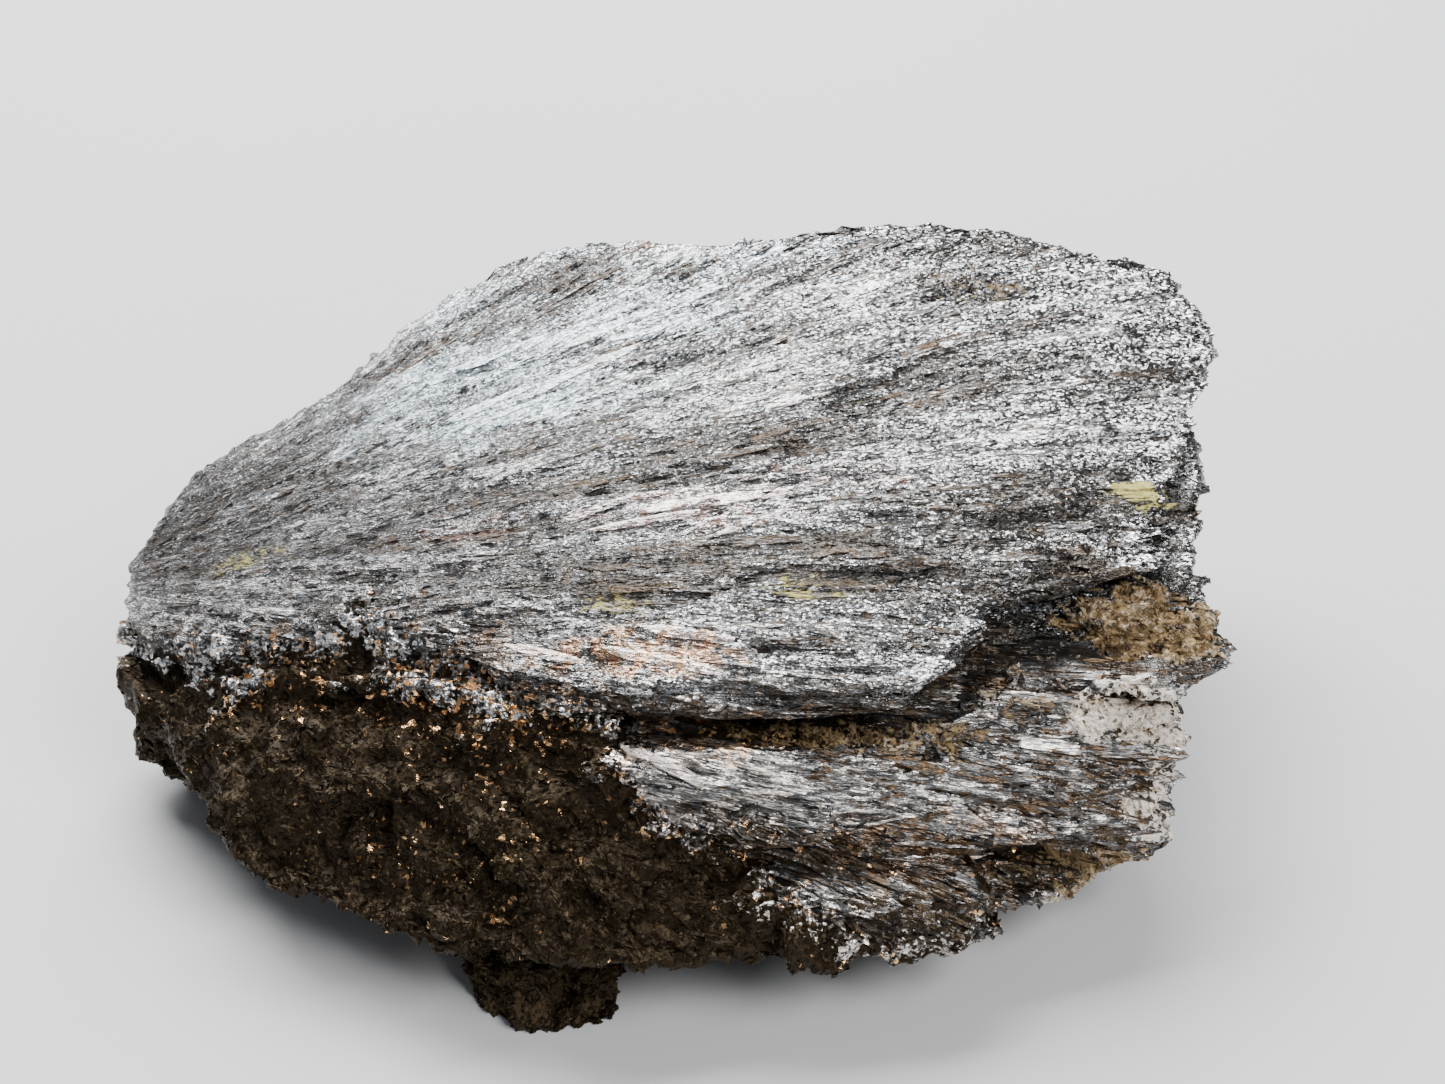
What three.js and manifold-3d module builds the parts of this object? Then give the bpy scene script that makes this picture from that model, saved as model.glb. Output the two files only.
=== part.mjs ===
// A hand-sized piece of massive bladed stibnite, lying on its natural rest.
//
// The mass is one grown-together bundle of metallic blades that fan out from a root beyond its narrow
// left end (-X) towards a ragged broken right end (+X). Its top (+Z) is a parting along the blades,
// tipped a little towards the front (-Y). The front breaks down in ledges along the blades, and its
// left half is broken short and hackly. The underside is a rough break that stands on three worn
// bosses.
//
// Three packets of blades, a top slab, the main mass and a low ledge, are each drawn on rails: lines
// that follow the packet from end to end. A section across a packet visits its rails in order, once
// round. Blades that stand out of the skin, and the stubs of blades that broke across at the ends,
// are laid along the fan. Packets, bosses, blades and stubs are then joined in one solid, as they grew.
//
// Units are millimetres, +Z is up, and the origin is the middle of the bounding box's lowest plane.

import * as THREE from "three";
import { mergeVertices } from "three/addons/utils/BufferGeometryUtils.js";
import Module from "manifold-3d";

// ---- Driving sizes ----

const STATION_PITCH = 4; // between sections along the blades
const FULL_COLUMN = 2.4; // width of a column of skin at which its blades have their full relief
const BUNDLE = 2; // neighbouring columns that rise and sink together
const SINGLE_SHARE = 0.55; // share of the relief that each column has of its own
const LONG_BLADE = 16; // mean run of a blade where the skin parted along the blades
const SHORT_BLADE = 5; // and where it broke short and hackly
const SPREAD = 0.45; // share by which sizes and places of blades stray from the even
const HACKLE_END = 1; // x where the hackly left half of the front gives way to long blades
const HACKLE_GAIN = 2.2; // how much rougher the hackly skin is
const UNDERSIDE = 0.6; // lowest that the skin between the bosses comes to the ground

const FAN_AXIS = [-57, 8, 14]; // a point of the axis that all blades fan out from, beyond the left end
const FAN_LEAN = 1.43; // how far the axis leans to the front per unit of height
const FAN_REACH = 75; // distance from the axis at which blades have their full length and width
const BLADE_DEPTH = 1.3; // how deep the flanks of a blade go down under the skin
const STUB_SIDES = 5; // of a blade that the end face broke across
const STUB_DEPTH = 8; // how far such a stub runs back into the mass
const OVERLAP = 0.62; // half size of a stub, as a share of the spacing of stubs
const ROUGHNESS = 0.3; // share by which corners of stubs and bosses stray from the even
const TILT = 0.25; // most that a blade's top leans to a side, as a slope

// A blade from its tail to its broken head: how far back, how high and how broad, as shares
const BLADE_RINGS = [
  { back: 1, height: -0.6, breadth: 0.35 },
  { back: 0.4, height: 0.6, breadth: 1 },
  { back: 0, height: 1, breadth: 0.85 },
];

// ---- Packets of blades ----
// knots: x, y, z that a rail runs through. columns: strips of skin from this rail to the next one.
// relief: how far the blades there stand proud or low. hackly: broken short left of HACKLE_END.
// The ends of a packet: sink, how far the middle lies back, and relief, how far blade ends stand out.

const topSlab = {
  name: "top slab",
  seed: 1,
  ends: { left: { sink: 0.8, relief: 0.5 }, right: { sink: 1, relief: 0.8 } },
  rails: [
    {
      name: "back rim",
      columns: 7,
      relief: 0.6,
      knots: [
        [-43.8, 6.3, 18],
        [-41.7, 10.8, 20.2],
        [-38.6, 15.7, 22],
        [-33.6, 19, 23.2],
        [-29.4, 22.2, 24.2],
        [-23.9, 28.6, 27],
        [-17.5, 33.4, 29],
        [-11.4, 37, 30.4],
        [2, 37, 31],
        [13, 37.8, 32],
        [20, 39.2, 32],
        [28.5, 39.4, 31],
        [34, 37.4, 30.2],
        [42.5, 36.2, 29.2],
        [45.2, 33.4, 28.8],
        [46.7, 27, 27.4],
      ],
    },
    {
      name: "crest",
      columns: 6,
      relief: 0.42,
      knots: [
        [-43.9, 5, 17.4],
        [-36, 8.5, 21.6],
        [-26, 13.5, 25],
        [-12, 17, 28],
        [4, 17, 28.8],
        [20, 18, 28.8],
        [34, 18, 27.8],
        [44, 18, 26],
      ],
    },
    {
      name: "front slope",
      columns: 3,
      relief: 0.42,
      knots: [
        [-43.8, 3.4, 16.5],
        [-36, 2.6, 19.6],
        [-26, 3, 22.8],
        [-12, 1, 25],
        [4, 0, 25.8],
        [20, 3, 25.6],
        [32, 5.5, 24.8],
        [39, 6, 24],
      ],
    },
    {
      name: "notch rim",
      columns: 1,
      relief: 0.35,
      knots: [
        [-43.7, 2.4, 16],
        [-36, 0.4, 18.8],
        [-26, 0.2, 22],
        [-12, -3.2, 24.2],
        [4, -4.4, 24.8],
        [16, -4, 24.4],
        [26, -3.6, 23.4],
        [39.6, -1.3, 22.2],
      ],
    },
    {
      name: "notch corner",
      columns: 2,
      relief: 0.35,
      knots: [
        [-43.6, 1.4, 15.5],
        [-36, -1.4, 18],
        [-26, -2, 20.8],
        [-12, -7, 23.4],
        [4, -9.4, 23.8],
        [14, -9, 23.4],
        [23.6, -6.8, 22.4],
      ],
    },
    {
      name: "slab edge",
      columns: 1,
      relief: 0.3,
      hackly: true,
      knots: [
        [-43.4, 0.4, 14.6],
        [-40.6, -1.6, 15.6],
        [-36.4, -3, 16.5],
        [-28.4, -3.6, 19.3],
        [-20, -6.4, 21],
        [-12, -10.6, 22],
        [-4.8, -14, 22.2],
        [9.4, -15, 22],
        [17.8, -15.2, 22],
      ],
    },
    {
      name: "under the slab edge",
      columns: 1,
      relief: 0.3,
      hackly: true,
      knots: [
        [-43.4, 0.2, 13],
        [-36, -4.6, 13.2],
        [-28, -7, 15],
        [-20, -9.8, 16.8],
        [-12, -13.4, 18.6],
        [-5, -15.2, 20],
        [9.4, -14.8, 19.6],
        [17.4, -14.6, 19.4],
      ],
    },
    {
      name: "front root",
      columns: 1,
      relief: 0,
      knots: [
        [-42.6, 3.2, 11],
        [-28, 0, 11],
        [4, -5, 12],
        [22, -2, 13],
      ],
    },
    {
      name: "back root",
      columns: 1,
      relief: 0,
      knots: [
        [-42, 5.6, 11],
        [-30, 11, 11],
        [2, 22, 15],
        [24, 24, 15],
        [40, 20, 17],
      ],
    },
    {
      name: "back lip",
      columns: 2,
      relief: 0.4,
      knots: [
        [-43, 7.2, 13],
        [-38, 13.8, 16],
        [-29, 20.4, 18],
        [-23, 26.6, 21],
        [-12, 35.2, 24],
        [2, 35.4, 25],
        [20, 37.2, 25.5],
        [34, 35.6, 24],
        [45.2, 27.4, 24],
      ],
    },
  ],
};

const mainMass = {
  name: "main mass",
  seed: 2,
  ends: { left: { sink: 1, relief: 0.5 }, right: { sink: 3, relief: 1 } },
  rails: [
    {
      name: "back shoulder",
      columns: 1,
      relief: 0,
      knots: [
        [-42.6, 7, 14.6],
        [-30, 18.6, 19.6],
        [-12, 34, 25.2],
        [4, 34.8, 26],
        [20, 36.4, 26.4],
        [34, 34.8, 25],
        [44, 28.4, 23.8],
      ],
    },
    {
      name: "core",
      columns: 1,
      relief: 0,
      knots: [
        [-43.6, 5, 13.6],
        [-30, 8, 17],
        [0, 14, 23],
        [24, 14, 23],
        [43, 13, 22.8],
      ],
    },
    {
      name: "bench back",
      columns: 3,
      relief: 0.4,
      knots: [
        [-44.2, 3, 13.2],
        [-30, -1, 16],
        [-12, -6, 19],
        [4, -8, 20],
        [18, -6, 20],
        [28, -2.4, 20.6],
        [40.6, 0.4, 20.6],
      ],
    },
    {
      name: "recess",
      columns: 2,
      relief: 0.4,
      hackly: true,
      knots: [
        [-43.6, 1.2, 12.4],
        [-36, -6.4, 13],
        [-28, -9.6, 15],
        [-20, -12.4, 16.4],
        [-12, -15.4, 17.6],
        [-5, -16.4, 18.6],
        [3, -14, 17.8],
        [12, -13.2, 17.4],
        [19, -12.2, 17.2],
        [25, -9.2, 17.6],
        [31, -7.8, 19],
        [42, -6.6, 18],
      ],
    },
    {
      name: "ledge crest",
      columns: 4,
      relief: 0.45,
      hackly: true,
      knots: [
        [-44.3, 0.4, 10.6],
        [-40, -5, 11],
        [-35.5, -9.5, 11.6],
        [-28, -13, 13],
        [-20, -15.5, 14.3],
        [-12, -18, 15.2],
        [-5, -18.8, 17],
        [0, -18.4, 18.8],
        [9.5, -18, 18.8],
        [17, -16.6, 18.2],
        [23, -13, 18.8],
        [30, -12, 18.4],
        [37, -9.8, 15.6],
      ],
    },
    {
      name: "ledge edge",
      columns: 1,
      relief: 0.35,
      hackly: true,
      knots: [
        [-44, -0.6, 8.4],
        [-39, -6.4, 9.4],
        [-35, -13, 10],
        [-28, -17, 10.6],
        [-20, -19.4, 11.2],
        [-12, -21.6, 12],
        [-4, -22, 13.4],
        [3, -21.6, 13.8],
        [9.5, -21.4, 12.6],
        [17, -20.8, 11.6],
        [22, -19.6, 11],
        [30, -17.8, 11],
        [36.9, -16.2, 9.4],
      ],
    },
    {
      name: "under the ledge",
      columns: 2,
      relief: 0.35,
      hackly: true,
      knots: [
        [-43.4, -1.4, 6.6],
        [-38.6, -6.6, 7.8],
        [-34.8, -14, 8.8],
        [-28, -18.2, 9.3],
        [-20, -20.8, 9.6],
        [-12, -23.2, 10.2],
        [-4, -24, 11.4],
        [3, -22, 11.4],
        [9.5, -20.4, 10.6],
        [17, -19.6, 9.8],
        [22, -18, 8.8],
        [30, -16.8, 9.2],
        [37, -15.5, 8.6],
      ],
    },
    {
      name: "front bottom edge",
      columns: 2,
      relief: 0.4,
      hackly: true,
      knots: [
        [-42.8, -2.4, 4.8],
        [-38.4, -5.6, 4.8],
        [-34.6, -10.4, 6.4],
        [-33.6, -15.8, 7.4],
        [-28, -20.4, 7.3],
        [-20, -23.8, 7.1],
        [-12, -26.6, 7.4],
        [-4, -28, 8.2],
        [2, -25.4, 7.4],
        [10, -22, 6],
        [20, -20.6, 5.6],
        [27.6, -20, 6],
        [32.6, -17, 6.5],
        [36.8, -14.9, 7.6],
      ],
    },
    {
      name: "under the front",
      columns: 3,
      relief: 0.6,
      hackly: true,
      knots: [
        [-41.6, -1, 3],
        [-36, -7, 3.8],
        [-26, -15, 4.2],
        [-12, -19, 3.8],
        [4, -19, 3.4],
        [18, -15, 3.2],
        [27, -14, 3.6],
        [34, -10, 4.4],
      ],
    },
    {
      name: "underside front",
      columns: 5,
      relief: 0.7,
      hackly: true,
      knots: [
        [-41.5, 3, 1.4],
        [-28, -4, 1.6],
        [-10, -7, 1.6],
        [10, -8, 1.5],
        [26, -5, 1.7],
        [33, -2, 2.6],
      ],
    },
    {
      name: "underside back",
      columns: 3,
      relief: 0.6,
      knots: [
        [-41, 6.6, 1.6],
        [-30, 11.5, 1.8],
        [-12, 24, 1.7],
        [8, 26, 1.7],
        [26, 26, 1.8],
        [35, 21, 2.6],
      ],
    },
    {
      name: "back foot",
      columns: 3,
      relief: 0.7,
      knots: [
        [-41.5, 8.4, 4.6],
        [-30, 16.4, 5],
        [-14, 29.4, 6],
        [6, 32, 5.5],
        [24, 33.4, 6],
        [36, 29, 6.8],
        [39.6, 26, 7.4],
      ],
    },
    {
      name: "back middle",
      columns: 3,
      relief: 0.7,
      knots: [
        [-42.6, 8.4, 10.5],
        [-32, 18.6, 13],
        [-22, 27, 15],
        [-11, 34.4, 17],
        [4, 34.8, 16.5],
        [20, 37.2, 18],
        [34, 35.8, 17],
        [43.6, 30.6, 16],
      ],
    },
  ],
};

const lowLedge = {
  name: "low ledge",
  seed: 3,
  ends: { left: { sink: 0.5, relief: 0.3 }, right: { sink: 1, relief: 0.9 } },
  rails: [
    {
      name: "low ledge root",
      columns: 1,
      relief: 0.3,
      knots: [
        [-3, -17, 11],
        [9, -15, 11],
        [21, -13, 10],
      ],
    },
    {
      name: "low ledge crest",
      columns: 2,
      relief: 0.3,
      knots: [
        [-4, -25, 10.2],
        [6, -25, 11],
        [14, -24.4, 11],
        [22.4, -23, 10.2],
      ],
    },
    {
      name: "low ledge face",
      columns: 1,
      relief: 0.3,
      knots: [
        [-4, -27.4, 8.8],
        [8, -27, 8.4],
        [16, -25.8, 8],
        [23.6, -24.4, 7.8],
      ],
    },
    {
      name: "low ledge bottom",
      columns: 2,
      relief: 0.3,
      knots: [
        [-4, -27.4, 7.6],
        [8, -26.8, 6.4],
        [16, -25.2, 5.8],
        [24.2, -23.6, 6.2],
      ],
    },
    {
      name: "low ledge underside",
      columns: 1,
      relief: 0.2,
      knots: [
        [-3, -18, 6],
        [10, -16, 6],
        [21.6, -14, 6.4],
      ],
    },
  ],
};

// ---- Bosses that the mass stands on ----
// outline: x and y at the ground. root: how high it goes up into the rock. splay: how much wider it
// is there in x and y, as shares. lean: how far its middle has moved there in x and y.

const bosses = [
  {
    name: "front tip",
    seed: 4,
    root: 9,
    splay: [0.7, 1.6],
    lean: [-3.6, 9],
    outline: [
      [-12.8, -25],
      [-9.9, -27.2],
      [-6.6, -26.4],
      [-3.8, -25.2],
      [-4.4, -21],
      [-9, -19.8],
      [-13.4, -22],
    ],
  },
  {
    name: "back left boss",
    seed: 5,
    root: 7,
    splay: [0.5, 0.5],
    lean: [0, 0],
    outline: [
      [-31, 8],
      [-27, 4.6],
      [-22, 6],
      [-20.4, 11],
      [-23.6, 14.2],
      [-29, 11],
    ],
  },
  {
    name: "back right boss",
    seed: 6,
    root: 7,
    splay: [0.5, 0.5],
    lean: [0, 0],
    outline: [
      [12, 20],
      [16, 16.4],
      [24, 17],
      [27.4, 21.6],
      [22, 25],
      [14.6, 24.4],
    ],
  },
];

// ---- Fields of blades on the packets ----
// strip: the rails that the field lies between. shares: its reach, from the packet's left end on.
// across and along: how many blades. length, width and proud: those of a middling blade.

const bladeFields = [
  {
    name: "top",
    packet: topSlab,
    strip: ["back rim", "slab edge"],
    shares: [0.14, 0.97],
    across: 7,
    along: 5,
    length: 17,
    width: 3.6,
    proud: 0.42,
    seed: 60,
  },
  {
    name: "ledges",
    packet: mainMass,
    strip: ["recess", "under the ledge"],
    shares: [0.5, 0.96],
    across: 3,
    along: 3,
    length: 13,
    width: 3,
    proud: 0.45,
    seed: 62,
  },
  {
    name: "hackly front",
    packet: mainMass,
    strip: ["recess", "front bottom edge"],
    shares: [0.1, 0.5],
    across: 4,
    along: 4,
    length: 11,
    width: 7,
    proud: 0.9,
    seed: 64,
  },
  {
    name: "back",
    packet: mainMass,
    strip: ["back middle", "back shoulder"],
    shares: [0.2, 0.96],
    across: 2,
    along: 3,
    length: 16,
    width: 5,
    proud: 0.7,
    seed: 68,
  },
  {
    name: "shoulder",
    packet: topSlab,
    strip: ["notch corner", "front root"],
    shares: [0.12, 0.6],
    across: 2,
    along: 5,
    length: 12,
    width: 6,
    proud: 0.7,
    seed: 66,
  },
];

// ---- Stubs of blades that broke across, on the end faces of the mass ----
// side: 1 for the right end, -1 for the left. box: the part of the face they cover, as least and most
// y and least and most z. across and along: how many in y and in z. end: x of the middling break at
// least and at most y. stray: how far the breaks stray from it.

const stubFields = [
  {
    name: "right end",
    side: 1,
    box: [-13, 28, 6.5, 19],
    across: 6,
    along: 3,
    end: [37.4, 40.2],
    stray: 1,
    seed: 80,
  },
  {
    name: "left end",
    side: -1,
    box: [-1, 7.5, 4.4, 15],
    across: 2,
    along: 3,
    end: [-42.2, -42],
    stray: 0.4,
    seed: 85,
  },
];

// ---- Seeded numbers from -1 to 1 ----

function roll(a, b, c) {
  let h = Math.imul(a, 374761393) ^ Math.imul(b, 668265263) ^ Math.imul(c, 2147483647);
  h = Math.imul(h ^ (h >>> 13), 1274126177);
  return ((h ^ (h >>> 16)) >>> 0) / 2147483647.5 - 1;
}

function middleOf(points) {
  return points.reduce((sum, p) => sum.add(p), new THREE.Vector3()).divideScalar(points.length);
}

// ---- The rails, read at any x ----

function slopeAt(knots, k, axis) {
  const a = knots[Math.max(k - 1, 0)];
  const b = knots[Math.min(k + 1, knots.length - 1)];
  return (b[axis] - a[axis]) / (b[0] - a[0]);
}

// A smooth value of a rail's y (axis 1) or z (axis 2) at x, through all its knots.
function readRail(knots, x, axis) {
  let k = 0;
  while (k < knots.length - 2 && knots[k + 1][0] < x) k += 1;
  const [from, to] = [knots[k], knots[k + 1]];
  const run = to[0] - from[0];
  const t = THREE.MathUtils.clamp((x - from[0]) / run, 0, 1);
  const [t2, t3] = [t * t, t * t * t];
  return (
    (2 * t3 - 3 * t2 + 1) * from[axis] +
    (t3 - 2 * t2 + t) * run * slopeAt(knots, k, axis) +
    (3 * t2 - 2 * t3) * to[axis] +
    (t3 - t2) * run * slopeAt(knots, k + 1, axis)
  );
}

function railPoint({ knots }, share) {
  const x = THREE.MathUtils.lerp(knots[0][0], knots[knots.length - 1][0], share);
  return new THREE.Vector3(x, readRail(knots, x, 1), readRail(knots, x, 2));
}

// ---- The smooth skin of a packet: one ring of spots per station ----

function smoothRing(rails, share) {
  return rails.flatMap((rail, r) => {
    const from = railPoint(rail, share);
    const to = railPoint(rails[(r + 1) % rails.length], share);
    return Array.from({ length: rail.columns }, (_, c) => ({
      rail,
      point: from.clone().lerp(to, c / rail.columns),
    }));
  });
}

// ---- Relief: blades that stand proud or low, each for its own run ----

function bladeRelief(column, x, meanRun, seed) {
  const run = meanRun * (1 + SPREAD * roll(column, 11, seed));
  const bundle = Math.floor(column / BUNDLE);
  const single = roll(column, Math.floor(x / run + roll(column, 5, seed)), seed);
  const shared = roll(bundle, Math.floor(x / (2 * run) + roll(bundle, 7, seed)), seed + 10);
  return SINGLE_SHARE * single + (1 - SINGLE_SHARE) * shared;
}

function reliefOf({ rail, point }, column, width, seed) {
  const hackly = rail.hackly && point.x < HACKLE_END;
  const gain = rail.relief * Math.min(1, width / FULL_COLUMN) * (hackly ? HACKLE_GAIN : 1);
  return gain * bladeRelief(column, point.x, hackly ? SHORT_BLADE : LONG_BLADE, seed);
}

function skinRings({ rails, seed }) {
  const knots = rails.flatMap((rail) => rail.knots);
  const reach = Math.max(...knots.map(([x]) => x)) - Math.min(...knots.map(([x]) => x));
  const stations = Math.round(reach / STATION_PITCH);
  const smooth = Array.from({ length: stations + 1 }, (_, i) => smoothRing(rails, i / stations));
  const count = smooth[0].length;
  return smooth.map((ring, i) =>
    ring.map((spot, j) => {
      const ahead = smooth[Math.min(i + 1, stations)][j].point;
      const behind = smooth[Math.max(i - 1, 0)][j].point;
      const along = ahead.clone().sub(behind);
      const across = ring[(j + 1) % count].point.clone().sub(ring[(j + count - 1) % count].point);
      const outward = across.clone().cross(along).normalize();
      const relief = reliefOf(spot, j, across.length() / 2, seed);
      const point = spot.point.clone().addScaledVector(outward, relief);
      point.z = Math.max(point.z, UNDERSIDE);
      return { point, outward };
    }),
  );
}

// ---- The ends of a packet: rings drawn in towards the middle, each blade broken at its own length ----

const END_RINGS = [0.22, 0.5, 0.75]; // shares of the way from the edge to the middle

function endOf(edge, side, { sink, relief }, seed) {
  const middle = middleOf(edge);
  const rings = END_RINGS.map((share, k) =>
    edge.map((p, j) => {
      const q = p.clone().lerp(middle, share);
      q.x -= side * (sink * share - relief * (1 - share) * roll(j >> 1, k, seed));
      return q;
    }),
  );
  middle.x -= side * sink;
  return { rings, middle };
}

function packetGeometry(packet) {
  const skin = skinRings(packet).map((ring) => ring.map(({ point }) => point));
  const left = endOf(skin[0], -1, packet.ends.left, packet.seed + 20);
  const right = endOf(skin[skin.length - 1], 1, packet.ends.right, packet.seed + 40);
  const rings = [...left.rings.reverse(), ...skin, ...right.rings];
  return tubeGeometry(rings, left.middle, right.middle);
}

// ---- Bosses: three outlines, one above the other ----

function bossGeometry({ outline, root, splay, lean, seed }) {
  const centre = middleOf(outline.map(([x, y]) => new THREE.Vector3(x, y, 0)));
  const rings = [0, 0.5, 1].map((level) =>
    outline.map(([x, y], j) => {
      const wider = level * (1 + ROUGHNESS * roll(j, 1, seed));
      const grow = new THREE.Vector3(1 + splay[0] * wider, 1 + splay[1] * wider, 1);
      const shift = new THREE.Vector3(lean[0] * level, lean[1] * level, root * level);
      return new THREE.Vector3(x, y, 0).sub(centre).multiply(grow).add(centre).add(shift);
    }),
  );
  const top = centre.clone().add(new THREE.Vector3(lean[0], lean[1], root));
  return tubeGeometry(rings, centre, top);
}

// ---- Blades: long flat wedges that rise out of the skin and break off steeply ----

// The spot of the skin that is nearest to a point.
function nearestSpot(skin, point) {
  const distance = (spot) => spot.point.distanceToSquared(point);
  return skin.flat().reduce((best, spot) => (distance(spot) < distance(best) ? spot : best));
}

// The way that blades run at a spot: away from the fan's axis, along the skin.
function bladeWay({ point, outward }) {
  const [x, y, z] = FAN_AXIS;
  const root = new THREE.Vector3(x, y - (point.z - z) * FAN_LEAN, point.z);
  return point.clone().sub(root).projectOnPlane(outward).normalize();
}

function bladeAt(skin, { length, width, proud, seed }, head, index) {
  const along = bladeWay(head);
  const scale = (head.point.x - FAN_AXIS[0]) / FAN_REACH;
  const run = length * scale * (1 + SPREAD * roll(index, 1, seed));
  const half = (width * scale * (1 + SPREAD * roll(index, 2, seed))) / 2;
  const rise = proud * (1 + SPREAD * roll(index, 3, seed));
  const tilt = TILT * half * roll(index, 4, seed);
  const skew = half * roll(index, 5, seed);
  const rings = BLADE_RINGS.map(({ back, height, breadth }) => {
    const spine = head.point.clone().addScaledVector(along, -run * back);
    const { point, outward } = nearestSpot(skin, spine);
    spine.addScaledVector(outward, point.clone().sub(spine).dot(outward));
    const left = outward.clone().cross(along);
    const corner = (side, level) =>
      spine
        .clone()
        .addScaledVector(left, side * half * breadth)
        .addScaledVector(along, side * skew)
        .addScaledVector(outward, level);
    return [
      corner(1, -BLADE_DEPTH),
      corner(0.7, height * rise + tilt),
      corner(-0.7, height * rise - tilt),
      corner(-1, -BLADE_DEPTH),
    ];
  });
  return tubeGeometry(rings, middleOf(rings[0]), middleOf(rings[rings.length - 1]));
}

// How many columns of skin a packet has before the rail of that name.
function columnsBefore({ rails }, name) {
  const until = rails.findIndex((rail) => rail.name === name) || rails.length;
  return rails.slice(0, until).reduce((sum, { columns }) => sum + columns, 0);
}

function bladesOf(field) {
  const { packet, strip, shares, across, along, seed } = field;
  const skin = skinRings(packet);
  const from = columnsBefore(packet, strip[0]) % skin[0].length;
  const to = columnsBefore(packet, strip[1]);
  return Array.from({ length: across * along }, (_, index) => {
    const [i, j] = [index % across, Math.floor(index / across)];
    const u = (i + 0.5 + SPREAD * roll(i, j, seed)) / across;
    const v = (j + 0.5 + SPREAD * roll(i, j, seed + 1)) / along;
    const station = Math.round(THREE.MathUtils.lerp(...shares, v) * (skin.length - 1));
    const column = Math.floor(THREE.MathUtils.lerp(from + 1, to, u));
    return bladeAt(skin, field, skin[station][column], index);
  });
}

// ---- Stubs: rough five-sided prisms that run back into the mass along the fan ----

function stubAt({ side, seed }, face, half, index) {
  const along = bladeWay({ point: face, outward: new THREE.Vector3(0, 0, 1) });
  const left = new THREE.Vector3(-along.y, along.x, 0);
  const corner = (t, k) => {
    const turn = (2 * Math.PI * (k + ROUGHNESS * roll(k, index, seed + 3))) / STUB_SIDES;
    const reach = 1 + ROUGHNESS * roll(k, index, seed + 4);
    return face
      .clone()
      .addScaledVector(along, t + ROUGHNESS * half[0] * roll(k, index, seed + 5))
      .addScaledVector(left, half[0] * reach * Math.cos(turn))
      .add(new THREE.Vector3(0, 0, half[1] * reach * Math.sin(turn)));
  };
  const ends = side > 0 ? [-STUB_DEPTH, 0] : [0, STUB_DEPTH];
  const rings = ends.map((t) => Array.from({ length: STUB_SIDES }, (_, k) => corner(t, k)));
  return tubeGeometry(rings, middleOf(rings[0]), middleOf(rings[1]));
}

function stubsOf(field) {
  const { box, across, along, end, stray, seed } = field;
  const [width, height] = [(box[1] - box[0]) / across, (box[3] - box[2]) / along];
  return Array.from({ length: across * along }, (_, index) => {
    const [i, j] = [index % across, Math.floor(index / across)];
    const y = box[0] + (i + 0.5 + ROUGHNESS * roll(i, j, seed)) * width;
    const z = box[2] + (j + 0.5 + ROUGHNESS * roll(i, j, seed + 1)) * height;
    const x = THREE.MathUtils.lerp(...end, (i + 0.5) / across) + stray * roll(i, j, seed + 2);
    return stubAt(field, new THREE.Vector3(x, y, z), [OVERLAP * width, OVERLAP * height], index);
  });
}

// ---- Closed geometry: rings joined in order, and a fan from a middle point at each end ----

function tubeGeometry(rings, firstMiddle, lastMiddle) {
  const count = rings[0].length;
  const points = [...rings.flat(), firstMiddle, lastMiddle];
  const faces = [];
  for (let j = 0; j < count; j += 1) {
    const k = (j + 1) % count;
    for (let i = 0; i < rings.length - 1; i += 1) {
      const [a, b, c, d] = [i * count + j, (i + 1) * count + j, (i + 1) * count + k, i * count + k];
      if ((i + j) % 2) faces.push(a, d, b, b, d, c);
      else faces.push(a, d, c, a, c, b);
    }
    const last = (rings.length - 1) * count;
    faces.push(points.length - 2, k, j);
    faces.push(points.length - 1, last + j, last + k);
  }
  const geometry = new THREE.BufferGeometry().setFromPoints(points);
  return geometry.setIndex(faces);
}

function solidOf(wasm, geometry) {
  const merged = mergeVertices(geometry, 1e-4);
  return new wasm.Manifold(
    new wasm.Mesh({
      numProp: 3,
      vertProperties: merged.getAttribute("position").array,
      triVerts: new Uint32Array(merged.index.array),
    }),
  );
}

function geometryOf(solid) {
  const mesh = solid.getMesh();
  const geometry = new THREE.BufferGeometry();
  geometry.setAttribute("position", new THREE.BufferAttribute(mesh.vertProperties, 3));
  geometry.setIndex(new THREE.BufferAttribute(mesh.triVerts, 1));
  geometry.computeVertexNormals();
  return geometry;
}

// Moves the geometry so that the middle of its box's lowest plane is the origin.
function standOnOrigin(geometry) {
  geometry.computeBoundingBox();
  const { min, max } = geometry.boundingBox;
  return geometry.translate(-(min.x + max.x) / 2, -(min.y + max.y) / 2, -min.z);
}

const wasm = await Module();
wasm.setup();

const pieces = [
  ...[topSlab, mainMass, lowLedge].map(packetGeometry),
  ...bosses.map(bossGeometry),
  ...bladeFields.flatMap(bladesOf),
  ...stubFields.flatMap(stubsOf),
].map((geometry) => solidOf(wasm, geometry));
const mass = pieces.reduce((joined, piece) => joined.add(piece));

const steelGrey = new THREE.MeshStandardMaterial({ color: 0x7c7d80, roughness: 0.38, metalness: 0.9 });
const specimen = new THREE.Mesh(standOnOrigin(geometryOf(mass)), steelGrey);
specimen.name = "stibnite_mass";

const group = new THREE.Group();
group.add(specimen);

export default group;
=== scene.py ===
"""Massive bladed stibnite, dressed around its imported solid.

The mass is one grown-together bundle of steel-grey blades that fan out from an axis beyond its narrow
left end. Its skin is cut fine from the solid, stepped along the blades, and covered with the small
blades, needles, chips and crust grains that the solid leaves out. All of it rides on the one body.
Shapes are worked out in millimetres, and mesh_of() writes them in metres.
"""

import logging
import math
from dataclasses import dataclass
from enum import Enum

import bpy
import numpy as np
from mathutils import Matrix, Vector
from mathutils.bvhtree import BVHTree


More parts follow.
